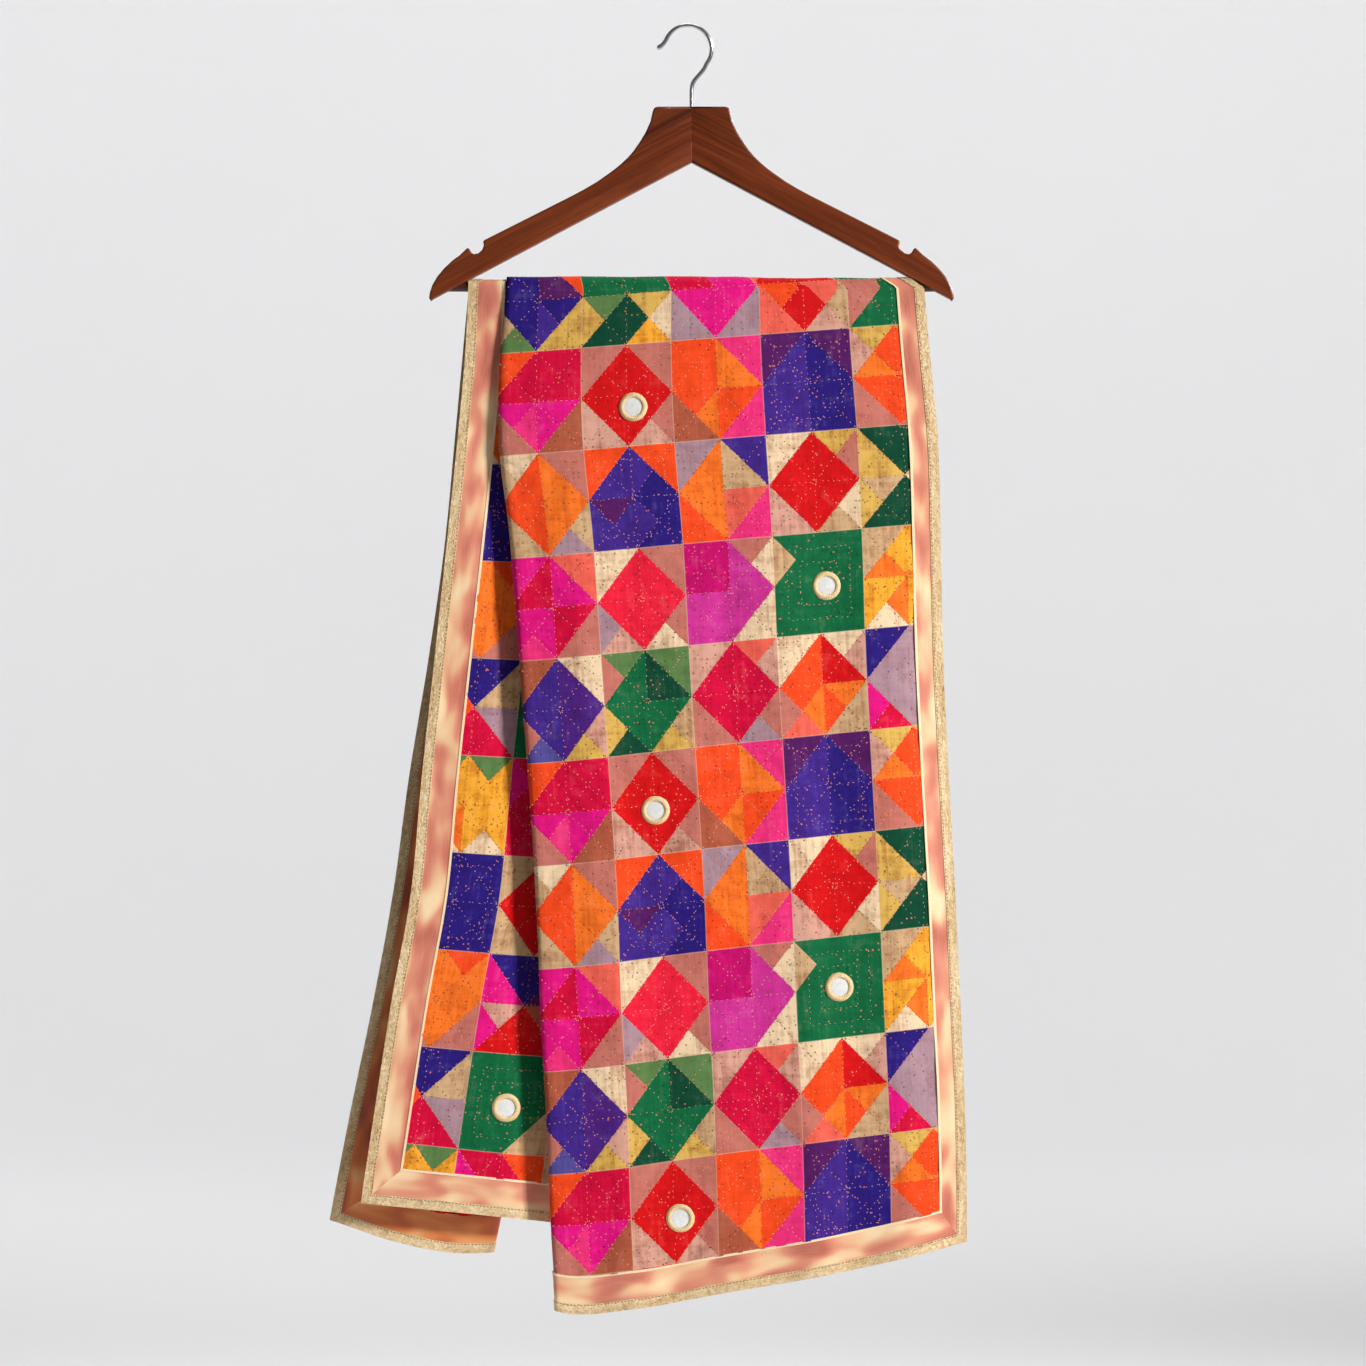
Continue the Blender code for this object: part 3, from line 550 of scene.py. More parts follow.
def silk_material():
    """Patch colour with slubs, wear, pale seams, small dots, some of them painted shadow, and quilting."""
    n = Nodes("printed_silk")
    uv = n.coords("UV")
    patch = n.add("ShaderNodeAttribute", attribute_name="patch").outputs["Color"]
    streaks = n.stretched(uv, (260.0, 14.0, 1.0), 4.0, 0.6)
    cross_streaks = n.stretched(uv, (10.0, 220.0, 1.0), 3.0, 0.6)
    blotches = n.noise(uv, 46.0, 5.0, 0.62, 0.6)
    stains = n.noise(uv, 170.0, 4.0, 0.65)
    tone = n.total(n.between(streaks, -0.10, 0.10), n.between(blotches, -0.12, 0.12),
                   n.between(cross_streaks, -0.05, 0.05), n.between(stains, -0.05, 0.05))
    shaded = n.mix(n.range(tone, 0.04, 0.34, 0.0, 0.10), patch, (0.92, 0.72, 0.56))
    pale = n.range(n.add("ShaderNodeRGBToBW", patch).outputs[0], 0.26, 0.38)
    worn = n.times(n.range(tone, 0.04, -0.14, 0.0, 0.80), n.range(pale, 0.0, 1.0, 0.45, 1.0))
    shaded = n.mix(worn, shaded, n.mix(1.0, patch, (0.56, 0.38, 0.34), "MULTIPLY"))
    u, v = n.axes(n.add("ShaderNodeUVMap", uv_map="block").outputs[0])[:2]
    seams = n.math("MINIMUM", n.math("PINGPONG", u, 0.5), n.math("PINGPONG", v, 0.5))
    shaded = n.mix(n.range(seams, 0.007, 0.003, 0.0, 0.28), shaded, linear((236, 208, 176)))
    seed = n.fill(n.add("ShaderNodeTexVoronoi"), Vector=uv, Scale=1 / SEED_PITCH).outputs
    chance = n.add("ShaderNodeSeparateColor", seed["Color"]).outputs
    dots = n.times(n.range(seed["Distance"], 0.19, 0.14), n.range(chance[0], 0.14, 0.16))
    # On darker patches some dots are the patch darkened: painted shadows of stitches; the coral dots are
    # thread
    shadow_dot_colour = n.mix(1.0, patch, (0.30, 0.22, 0.26), "MULTIPLY")
    coral_and_shadow_dots = n.mix(n.range(chance[1], 0.58, 0.60), shadow_dot_colour, (0.78, 0.19, 0.13))
    shaded = n.mix(n.times(dots, 0.85), shaded, n.mix(pale, coral_and_shadow_dots, (0.10, 0.04, 0.03)))
    rising = n.math("PINGPONG", n.math("ADD", u, v), 0.25)
    falling = n.math("PINGPONG", n.math("SUBTRACT", u, v), 0.25)
    quilt = n.math("POWER", n.math("MINIMUM", rising, falling), 0.5)
    weave = n.weave(n.axes(uv), SILK_THREAD)
    fine = n.total(n.times(weave, 0.35), n.times(streaks, 0.8), n.times(blotches, 1.6))
    soft = n.bump(n.noise(uv, 22.0, 3.0, 0.5, 0.4), 0.0020, 0.7, n.bump(fine, 0.00028, 0.9))
    return n.set(Base_Color=shaded, Roughness=n.between(streaks, 0.50, 0.66),
                 Normal=n.bump(quilt, 0.0012, 0.6, soft),
                 Sheen_Weight=0.02, Sheen_Roughness=0.4, Specular_IOR_Level=0.09)


# Ramp of the satin from coral to cream; the cream end is partly painted sheen
SATIN_PLACES = (0.36, 0.43, 0.49, 0.55, 0.63)
SATIN = ((184, 98, 80), (206, 118, 98), (218, 144, 114), (230, 184, 140), (240, 210, 168))
# A deeper, darker copy of the satin colours for the wrong side of the bands: painted shade
SATIN_WRONG_SHADED = ((172, 76, 52), (194, 94, 58), (210, 112, 60), (224, 138, 78), (234, 172, 112))


def satin_material(name, colours):
    """Shot satin, coral to cream, whose cream patches are partly its colour and partly painted sheen."""
    n = Nodes(name)
    uv = n.coords("UV")
    broad = n.stretched(uv, (52.0, 22.0, 1.0), 1.0, 0.4, 0.25)
    drift = n.stretched(uv, (19.0, 9.0, 1.0), 1.0, 0.4, 0.2)
    threads = n.stretched(uv, (1900.0, 60.0, 1.0), 2.0, 0.5)
    tone_and_sheen = n.total(n.times(broad, 0.70), n.times(drift, 0.30))
    colour = n.ramp(tone_and_sheen, tuple(zip(SATIN_PLACES, colours)))
    # Light streaks along the threads are painted sheen
    colour = n.mix(n.range(threads, 0.35, 0.75, 0.0, 0.14), colour, linear(colours[-1]))
    fine = n.bump(n.total(threads, n.times(n.weave(n.axes(uv), SATIN_THREAD), 0.2)), 0.00012, 0.7)
    return n.set(Base_Color=colour, Roughness=n.between(threads, 0.28, 0.42),
                 Normal=n.bump(tone_and_sheen, 0.0034, 0.7, fine),
                 Sheen_Weight=0.08, Anisotropic=0.4, Specular_IOR_Level=0.35)


TOPSTITCH_INSET = BINDING_WIDTH - 0.0010
TOPSTITCH_PITCH = 0.003
TISSUE = ((0.30, (150, 112, 70)), (0.45, (206, 172, 122)), (0.58, (232, 206, 162)), (0.72, (248, 234, 204)))


def tissue_material():
    """Crinkled gold tissue with a line of stitches near its inner edge."""
    n = Nodes("gold_tissue")
    uv = n.coords("UV")
    crinkle = n.stretched(uv, (320.0, 210.0, 1.0), 4.0, 0.65, 1.2)
    drift = n.stretched(uv, (60.0, 16.0, 1.0), 3.0, 0.55)
    colour = n.ramp(n.total(n.times(crinkle, 0.6), n.times(drift, 0.4)), TISSUE)
    parts = n.axes(uv)
    off_line = n.math("SUBTRACT", n.math("FRACT", parts[0]), TOPSTITCH_INSET)
    seam = n.range(n.math("ABSOLUTE", off_line), 0.0006, 0.0003)
    dashes = n.range(n.math("SINE", n.times(parts[1], 2 * math.pi / TOPSTITCH_PITCH)), -0.5, 0.0)
    colour = n.mix(n.times(seam, dashes, 0.75), colour, linear((118, 84, 50)))
    return n.set(Base_Color=colour, Roughness=n.between(crinkle, 0.30, 0.50),
                 Normal=n.bump(crinkle, 0.0012, 0.9, n.bump(n.weave(parts, TISSUE_THREAD), 0.0001, 0.6)),
                 Metallic=0.25)


def grained_material(name, scale, low, high, rough, relief, metallic=0.0):
    """A material with one fine grain in its colour, gloss and surface."""
    n = Nodes(name)
    grain = n.noise(n.coords("Object"), scale, 3.0, 0.6)
    return n.set(Base_Color=n.mix(n.range(grain, 0.35, 0.7), low, high), Roughness=n.between(grain, *rough),
                 Normal=n.bump(grain, *relief), Metallic=metallic)


def thread_material(name, base, light):
    return grained_material(name, 1800.0, linear(base), linear(light), (0.45, 0.7), (0.0002, 0.6))


def chrome_material():
    return grained_material("hook_wire", 900.0, (0.66, 0.67, 0.68), (0.82, 0.83, 0.84), (0.14, 0.26),
                            (0.0001, 0.3), 1.0)


def glass_material():
    n = Nodes("mirror_glass")
    coords = n.coords("Object")
    haze = n.noise(coords, 260.0, 4.0, 0.6)
    specks = n.noise(coords, 1400.0, 2.0, 0.6)
    # The glass's near-white colour is a painted reflection of the bright room
    colour = n.mix(n.range(haze, 0.35, 0.7), (0.84, 0.84, 0.80), (0.95, 0.95, 0.93))
    colour = n.mix(n.range(specks, 0.66, 0.80), colour, (0.52, 0.48, 0.40))
    return n.set(Base_Color=colour, Roughness=n.between(haze, 0.10, 0.28),
                 Normal=n.bump(haze, 0.0006, 0.35), Metallic=0.25)


ARM_WOOD = ((56, 20, 8), (106, 44, 14), (140, 66, 24))
BAR_WOOD = ((30, 12, 8), (70, 34, 22), (104, 56, 36))


def wood_material(name, turn, colours):
    """Varnished wood with its grain turned about Y by an angle."""
    n = Nodes(name)
    along = n.mapping(n.coords("Object"), turn=(0.0, turn, 0.0))
    long_grain = n.stretched(along, (5.0, 60.0, 60.0), 4.0, 0.6, 1.1)
    bands = n.stretched(along, (1.6, 14.0, 210.0), 4.0, 0.62, 0.8)
    pores = n.stretched(along, (60.0, 1500.0, 1500.0), 2.0, 0.6)
    figure = n.total(n.times(long_grain, 0.5), n.times(bands, 0.5))
    colour = n.ramp(figure, tuple(zip((0.30, 0.50, 0.70), colours)))
    colour = n.mix(n.range(pores, 0.56, 0.74, 0.0, 0.45), colour, linear(colours[0]))
    return n.set(Base_Color=colour, Roughness=n.between(long_grain, 0.30, 0.44),
                 Normal=n.bump(pores, 0.0002, 0.5),
                 Specular_IOR_Level=0.3, Coat_Weight=0.14, Coat_Roughness=0.16)


# Meshes

def linked(name, data):
    """A new object in the scene."""
    thing = bpy.data.objects.new(name, data)
    bpy.context.scene.collection.objects.link(thing)
    return thing


def piece(name, data, material):
    """A new piece of the object, which rides on its one body."""
    data.materials.append(material)
    thing = linked(name, data)
    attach(thing, "root")
    return thing


def mesh_of(name, vertices, faces):
    mesh = bpy.data.meshes.new(name)
    mesh.from_pydata(vertices, [], faces)
    mesh.update()
    mesh.shade_smooth()
    return mesh


def mesh_from(name, made):
    """Turns a bmesh into a mesh."""
    mesh = bpy.data.meshes.new(name)
    made.to_mesh(mesh)
    made.free()
    mesh.shade_smooth()
    return mesh


def ring_face(ring, side, sides):
    """Corner numbers of the face at one side between a ring of points and the next ring."""
    start, after = ring * sides, (ring + 1) * sides
    following = (side + 1) % sides
    return (start + side, start + following, after + following, after + side)


def grid_faces(columns, rows):
    """Corner numbers of the cells of a grid whose points go row by row down each column."""
    i, j = np.meshgrid(np.arange(columns - 1), np.arange(rows - 1), indexing="ij")
    top_left = (i * rows + j).ravel()
    return top_left, top_left + 1, top_left + rows + 1, top_left + rows


def rim_faces(columns, rows, offset):
    """Faces that join the printed side of a grid to its wrong side, all round."""
    left = np.arange(rows)
    bottom = np.arange(columns) * rows + rows - 1
    right = (columns - 1) * rows + np.arange(rows)[::-1]
    top = (np.arange(columns) * rows)[::-1]
    loop = np.concatenate((left, bottom[1:], right[1:], top[1:]))
    return [(int(b), int(a), int(a) + offset, int(b) + offset) for a, b in zip(loop, loop[1:])]


def sharpen_rim(mesh, first_rim_face):
    """Marks the edges along the rim as sharp, so that both sides shade as cloth."""
    counts = {}
    for polygon in mesh.polygons[first_rim_face:]:
        for key in polygon.edge_keys:
            counts[key] = counts.get(key, 0) + 1
    sharp = mesh.attributes.new("sharp_edge", "BOOLEAN", "EDGE")
    lookup = {edge.key: edge.index for edge in mesh.edges}
    for key, count in counts.items():
        if count == 1:
            sharp.data[lookup[key]].value = True


def add_uv(mesh, name, values, corner_vertex):
    """A UV layer from values for the printed side, which the wrong side repeats."""
    flat = np.tile(values.reshape(-1, 2), (2, 1))
    layer = mesh.uv_layers.new(name=name)
    layer.uv.foreach_set("vector", flat[corner_vertex].astype(np.float32).ravel())


def cloth_shell(name, cut, run, lift, thickness, material, uv, triangles=None, paints=None, block=None,
                shaded_wrong_material=None):
    """A closed thin shell on the cloth, from grids of cut positions and runs."""
    columns, rows = cut.shape
    base = place(cut, run)
    normal = outward(cut, run)
    sides = [base + normal * (lift[..., None] + half) for half in (thickness / 2, -thickness / 2)]
    vertices = np.concatenate([side.reshape(-1, 3) for side in sides])
    offset = columns * rows
    faces = np.stack(grid_faces(columns, rows), axis=1) if triangles is None else triangles
    upper = [tuple(face) for face in faces.tolist()]
    under = [tuple(offset + corner for corner in reversed(face)) for face in upper]
    rim = rim_faces(columns, rows, offset)
    thing = piece(name, mesh_of(name, vertices.tolist(), upper + under + rim), material)
    mesh = thing.data
    corner_vertex = np.zeros(len(mesh.loops), np.int32)
    mesh.loops.foreach_get("vertex_index", corner_vertex)
    add_uv(mesh, "cloth", uv, corner_vertex)
    # The wrong side may take a darker copy of the material, which is painted shade
    if shaded_wrong_material is not None:
        mesh.materials.append(shaded_wrong_material)
        which = np.zeros(len(mesh.polygons), np.int32)
        which[len(upper):len(upper) + len(under)] = 1
        mesh.polygons.foreach_set("material_index", which)
    if block is not None:
        add_uv(mesh, "block", block, corner_vertex)
    if paints is not None:
        rim_paints = np.repeat(paints[:1], len(rim), axis=0)
        colours = np.concatenate((paints, paints, rim_paints))
        attribute = mesh.color_attributes.new("patch", "FLOAT_COLOR", "CORNER")
        sizes = np.zeros(len(mesh.polygons), np.int32)
        mesh.polygons.foreach_get("loop_total", sizes)
        attribute.data.foreach_set("color", np.repeat(colours, sizes, axis=0).astype(np.float32).ravel())
    sharpen_rim(mesh, len(upper) + len(under))
    return thing


PRINT_WALL = 0.0006
BORDER_WALL = 0.0007
BINDING_WALL = 0.0014
SEAM_LAP = 0.0008
LATTICE_MARGIN = 0.006
FIRST_ROW, LAST_ROW = -10, 10


def print_lattice():
    """Lattice of the printed field: fractions of a block across and down, with the ends fitted."""
    first_column = -(LEFT_PART_COLUMN + HIDDEN_COLUMNS * PRINT_COLUMN) / PRINT_COLUMN
    across = np.arange(math.floor(first_column * CELLS), math.ceil(SHOWN_COLUMNS * CELLS) + 1) / CELLS
    cuts = FIRST_COLUMN_CUT + across * PRINT_COLUMN
    cuts = np.clip(cuts, LEFT_BORDER - SEAM_LAP, PRINT_END_CUT + SEAM_LAP)
    down = np.arange(FIRST_ROW * CELLS, (LAST_ROW + 1) * CELLS) / CELLS
    cut, row = np.meshgrid(cuts, down, indexing="ij")
    run = run_of_row(cut, row)
    low = back_end(cut, HEM_BORDER - SEAM_LAP)
    high = front_end(cut, HEM_BORDER - SEAM_LAP)
    used = ((run > low - LATTICE_MARGIN) & (run < high + LATTICE_MARGIN)).any(axis=0)
    return across, down[used], cut[:, used], np.clip(run, low, high)[:, used]


def printed_field(material):
    """The print, with every cell of the lattice cut along the patches' slanting edges."""
    across, down, cut, run = print_lattice()
    columns, rows = cut.shape
    a, b, c, d = grid_faces(columns, rows)
    i, j = np.meshgrid(np.arange(columns - 1), np.arange(rows - 1), indexing="ij")
    blocks, cells = [], []
    for fraction in (across[:-1][i].ravel(), down[:-1][j].ravel()):
        block = np.floor(fraction + 1e-6).astype(int)
        blocks.append(np.tile(block, 2))
        cells.append(np.round((fraction - block) * CELLS).astype(int))
    mirrored_u, mirrored_v = (np.minimum(cell, CELLS - 1 - cell) for cell in cells)
    same_hand = (cells[0] < CELLS // 2) == (cells[1] < CELLS // 2)
    falling = np.where(mirrored_u == mirrored_v, same_hand, ~same_hand)[:, None]
    triangles = np.concatenate((
        np.where(falling, np.stack((a, b, c), 1), np.stack((a, b, d), 1)),
        np.where(falling, np.stack((a, c, d), 1), np.stack((b, c, d), 1))))
    low, high = 1 / 3, 2 / 3
    centres = np.concatenate((np.where(falling, (low, high), (low, low)),
                              np.where(falling, (high, low), (high, high))))
    u, v = ((np.tile(cell, 2) + centres[:, axis]) / CELLS for axis, cell in enumerate(cells))
    return cloth_shell("printed_field", cut, run, pucker(cut, run), PRINT_WALL, material,
                       np.stack((cut, run), axis=-1), triangles, PAINT_TABLE[paint_index(*blocks, u, v)],
                       np.stack(np.meshgrid(across, down, indexing="ij"), axis=-1))


def mitre(inset, border):
    """Height of the corner seam above the hem, at a distance in from the selvage."""
    run = (inset - BINDING_WIDTH) / (border - BINDING_WIDTH)
    return np.where(inset <= BINDING_WIDTH, inset, BINDING_WIDTH + run * (HEM_BORDER - BINDING_WIDTH))


def mitre_back(above, border):
    """Distance of the corner seam from the selvage, at a height above the hem."""
    run = (above - BINDING_WIDTH) / (HEM_BORDER - BINDING_WIDTH)
    return np.where(above <= BINDING_WIDTH, above, BINDING_WIDTH + run * (border - BINDING_WIDTH))


STEPS_ALONG = 320
ARC_HALF = 0.030
ARC_STEPS = 40
HEM_STEPS = 420
# Hem strips start here in UV, so that their pattern isn't that of the sides
HEM_UV_START = 2.0


def along_runs():
    """Fractions along the whole length, closer together over the bar."""
    middle = np.linspace(0.5 - ARC_HALF, 0.5 + ARC_HALF, ARC_STEPS)
    before = np.linspace(0.0, 0.5 - ARC_HALF, STEPS_ALONG // 2)[:-1]
    after = np.linspace(0.5 + ARC_HALF, 1.0, STEPS_ALONG // 2)[1:]
    return np.concatenate((before, middle, after))


def side_grid(side, border, insets):
    """Cut positions, runs and UVs of a strip along a selvage, at distances in from it."""
    cuts = insets if side == "left" else CUT_WIDTH - insets
    order = np.argsort(cuts)
    cut, part = np.meshgrid(cuts[order], along_runs(), indexing="ij")
    inset = np.broadcast_to(insets[order][:, None], cut.shape)
    above = mitre(np.clip(inset, 0, border), border)
    low = back_end(cut, above)
    run = low + (front_end(cut, above) - low) * part
    return cut, run, np.stack((inset, run), axis=-1)


def hem_grid(side, heights):
    """The same for a strip along an end, at heights above the hem."""
    at, above = np.meshgrid(np.linspace(0.0, 1.0, HEM_STEPS), heights, indexing="ij")
    start = mitre_back(above, LEFT_BORDER)
    stop = CUT_WIDTH - mitre_back(above, RIGHT_BORDER)
    cut = start + (stop - start) * at
    if side == "hem_front":
        run = front_end(cut, above)
    else:
        cut, run, above = cut[:, ::-1], back_end(cut, above)[:, ::-1], above[:, ::-1]
    return cut, run, np.stack((above + HEM_UV_START, cut), axis=-1)


BAND_LIFT = 0.00035
BINDING_LIFT = 0.0005
PIPING_LIFT = 0.0007
PIPING_WIDTH = 0.0020
PIPING_WALL = 0.0010
SIDES = (("left", LEFT_BORDER), ("right", RIGHT_BORDER), ("hem_front", HEM_BORDER), ("hem_back", HEM_BORDER))


def borders(satin, satin_wrong_shaded, tissue, piping):
    """Band, binding and piping along each selvage and each end, in lists by kind."""
    made = {"band": [], "binding": [], "piping": []}
    for side, border in SIDES:
        for kind, inner, outer, steps, lift, wall, material, slot, wrong in (
            # The band's wrong side takes the darker satin, which is painted shade
            ("band", border, BINDING_WIDTH - SEAM_LAP, 6, BAND_LIFT, BORDER_WALL,
             satin, "satin", satin_wrong_shaded),
            ("binding", BINDING_WIDTH, 0.0, 3, BINDING_LIFT, BINDING_WALL, tissue, "tissue", None),
            ("piping", border, border - PIPING_WIDTH, 2, PIPING_LIFT, PIPING_WALL, piping, "satin", None),
        ):
            insets = np.linspace(inner, outer, steps + 1)
            grid = hem_grid(side, insets) if side.startswith("hem") else side_grid(side, border, insets)
            cut, run, uv = grid
            made[kind].append(cloth_shell(f"{kind}_{side}", cut, run, edge_waves(cut, run) + lift, wall,
                                          material, uv, shaded_wrong_material=wrong))
    return made


# Stitches

Line = namedtuple("Line", "from_u from_v to_u to_v")
STITCH_LINES = table(
    Line,
    (0.0, 0.0, 1.0, 1.0), (1.0, 0.0, 0.0, 1.0), (0.5, 0.0, 1.0, 0.5), (1.0, 0.5, 0.5, 1.0),
    (0.5, 1.0, 0.0, 0.5), (0.0, 0.5, 0.5, 0.0), (0.5, 0.0, 0.5, 1.0), (0.0, 0.5, 1.0, 0.5),
)


def inset_square(inset):
    low, high = inset, 1 - inset
    return (Line(low, low, high, low), Line(high, low, high, high),
            Line(high, high, low, high), Line(low, high, low, low))


SQUARE_LINES = inset_square(0.15) + inset_square(0.29)
# Blocks by column and kind of row that are sewn round in squares, and those that have one besides
SQUARE_BLOCKS = ((3, 3), (-4, 0))
EXTRA_SQUARE_BLOCKS = ((3, 1), (1, 2), (-5, 2))
STITCH_PITCH = 0.0048
STITCH_LENGTH = 0.0019
STITCH_WIDTH = 0.0008
STITCH_HEIGHT = 0.00045
STITCH_SINK = 0.00005
STITCH_JITTER = 0.006
STITCH_MARGIN = 0.002
RING_CLEARANCE = 0.0016
MEAN_ROW_PITCH = 0.0865
# Shares of red, green and blue in how light a patch is, and the limit for dark stitches
LIGHTNESS = (0.25, 0.60, 0.15)
PALE_LIMIT = 0.30
# Parts of the cloth whose printed side shows, as cut ranges on the front and on the back
FRONT_SHOWN = ((0.0, 0.20), (FOLD_CUT - 0.006, CUT_WIDTH))
BACK_SHOWN = ((0.0, 0.07), (0.235, CUT_WIDTH))


def stitch_places():
    """Cut position, row, and direction of each running stitch of the quilting."""
    rng = np.random.default_rng(7)
    found = []
    for column in range(FIRST_BLOCK, LAST_BLOCK + 1):
        for row in range(FIRST_ROW, LAST_ROW + 1):
            lines = STITCH_LINES
            if (column, row % 4) in SQUARE_BLOCKS:
                lines = SQUARE_LINES
            elif (column, row % 4) in EXTRA_SQUARE_BLOCKS:
                lines = STITCH_LINES + inset_square(0.13)
            for line in lines:
                start = np.array((line.from_u, line.from_v))
                way = np.array((line.to_u, line.to_v)) - start
                long = math.hypot(way[0] * PRINT_COLUMN, way[1] * MEAN_ROW_PITCH)
                count = max(2, round(long / STITCH_PITCH))
                t = (np.arange(count) + 0.5) / count
                jitter = rng.normal(0.0, STITCH_JITTER, (count, 2))
                u = column + start[0] + way[0] * t + jitter[:, 0]
                v = row + start[1] + way[1] * t + jitter[:, 1]
                found.append(np.stack((u, v, np.full(count, way[0]), np.full(count, way[1])), 1))
    return np.concatenate(found)


def within(cut, ranges):
    """Whether cut positions are in one of some ranges."""
    return np.any([(cut > low) & (cut < high) for low, high in ranges], axis=0)


def stitch_mesh(name, cut, run, way, material):
    """Small raised stitches on the printed side."""
    side = np.stack((-way[:, 1], way[:, 0]), 1)
    corners = []
    for along, aside, up in ((-0.5, 0, 0), (0, 0.5, 0), (0.5, 0, 0), (0, -0.5, 0), (0, 0, 1)):
        c = cut + way[:, 0] * STITCH_LENGTH * along + side[:, 0] * STITCH_WIDTH * aside
        r = run + way[:, 1] * STITCH_LENGTH * along + side[:, 1] * STITCH_WIDTH * aside
        lift = pucker(c, r) + PRINT_WALL / 2 + STITCH_HEIGHT * up - STITCH_SINK * (1 - up)
        corners.append(raised(c, r, lift))
    vertices = np.stack(corners, axis=1).reshape(-1, 3)
    base = np.arange(len(cut)) * 5
    triples = ((0, 1, 4), (1, 2, 4), (2, 3, 4), (3, 0, 4), (3, 2, 1), (3, 1, 0))
    faces = np.concatenate([base[:, None] + triple for triple in triples])
    return piece(name, mesh_of(name, vertices.tolist(), faces.tolist()), material)


def stitches(light_thread, dark_thread):
    spots = stitch_places()
    cut = FIRST_COLUMN_CUT + spots[:, 0] * PRINT_COLUMN
    run = run_of_row(cut, spots[:, 1])
    way = np.stack((spots[:, 2] * PRINT_COLUMN, spots[:, 3] * MEAN_ROW_PITCH), 1)
    way /= np.linalg.norm(way, axis=1, keepdims=True)
    keep = (cut > LEFT_BORDER + STITCH_MARGIN) & (cut < PRINT_END_CUT - STITCH_MARGIN)
    above = HEM_BORDER + STITCH_MARGIN
    keep &= (run > back_end(cut, above)) & (run < front_end(cut, above))
    keep &= np.where(run > -QUARTER_ARC, within(cut, FRONT_SHOWN), within(cut, BACK_SHOWN))
    for mirror in MIRRORS:
        on_same = (run > -QUARTER_ARC) == (mirror.run > -QUARTER_ARC)
        away = np.sqrt((cut - mirror.cut) ** 2 + (run - mirror.run) ** 2)
        near = away < RING_OUTER_RADIUS + RING_CLEARANCE
        keep &= ~(near & on_same)
    spots, cut, run, way = spots[keep], cut[keep], run[keep], way[keep]
    column = np.floor(spots[:, 0]).astype(int)
    row = np.floor(spots[:, 1]).astype(int)
    index = paint_index(np.clip(column, FIRST_BLOCK, LAST_BLOCK), row,
                        spots[:, 0] - column, spots[:, 1] - row)
    pale = PAINT_TABLE[index][:, :3] @ np.array(LIGHTNESS) > PALE_LIMIT
    light = stitch_mesh("stitches_light", cut[~pale], run[~pale], way[~pale], light_thread)
    dark = stitch_mesh("stitches_dark", cut[pale], run[pale], way[pale], dark_thread)
    return [light, dark]


# Mirrors

MIRROR_RADIUS = 0.0087
RING_OUTER_RADIUS = 0.0124
GLASS_SIDES = 48
RING_SIDES = 176
Mirror = namedtuple("Mirror", "name cut run")
Block = namedtuple("Block", "side column row right down")
MIRROR_BLOCKS = table(
    Block,
    ("front", 1, 1, 0.0051, 0.0103), ("front", 3, 3, 0.0063, 0.0030), ("front", 1, 5, 0.0, 0.0060),
    ("front", 3, 7, 0.0, 0.0), ("front", 1, 9, 0.0051, 0.0060), ("back", 3, -1, 0.0, 0.0),
    ("back", 1, -3, 0.0, 0.0), ("back", 3, -5, 0.0, 0.0), ("back", 1, -7, 0.0, 0.0),
)


def mirror_list():
    found = []
    for i, block in enumerate(MIRROR_BLOCKS, start=1):
        cut = FIRST_COLUMN_CUT + (block.column + 0.5) * PRINT_COLUMN + block.right
        run = float(run_of_row(cut, block.row + 0.5))
        run += block.down if block.side == "front" else -block.down
        found.append(Mirror(f"{block.side}_{i}", cut, run))
    found.append(Mirror("flap", 0.1120, 0.7030))
    return found


MIRRORS = mirror_list()


def disc_points(mirror, radius, angle, lift):
    """Points at polar places round a mirror, on the flat through the cloth there."""
    centre = raised(np.array(mirror.cut), np.array(mirror.run), np.array(0.0))
    normal = outward(np.array(mirror.cut), np.array(mirror.run))
    down = place(mirror.cut, mirror.run + 0.006) - place(mirror.cut, mirror.run - 0.006)
    down /= np.linalg.norm(down)
    right = np.cross(normal, down)
    right /= np.linalg.norm(right)
    radius, angle, lift = np.broadcast_arrays(radius, angle, lift)
    return (centre + right * (radius * np.cos(angle))[..., None] + down * (radius * np.sin(angle))[..., None]
            + normal * lift[..., None])


def revolve(mirror, radii, lifts, sides, ripple=None):
    """Rings of points joined into a surface round a mirror's middle."""
    angle = np.arange(sides) * 2 * math.pi / sides
    rings = []
    for k, (radius, lift) in enumerate(zip(radii, lifts)):
        extra = 0.0 if ripple is None else ripple[k] * np.cos(angle * sides / 4)
        rings.append(disc_points(mirror, radius, angle, lift + extra))
    vertices = np.concatenate(rings)
    faces = [ring_face(k, s, sides) for k in range(len(radii) - 1) for s in range(sides)]
    return vertices.tolist(), faces


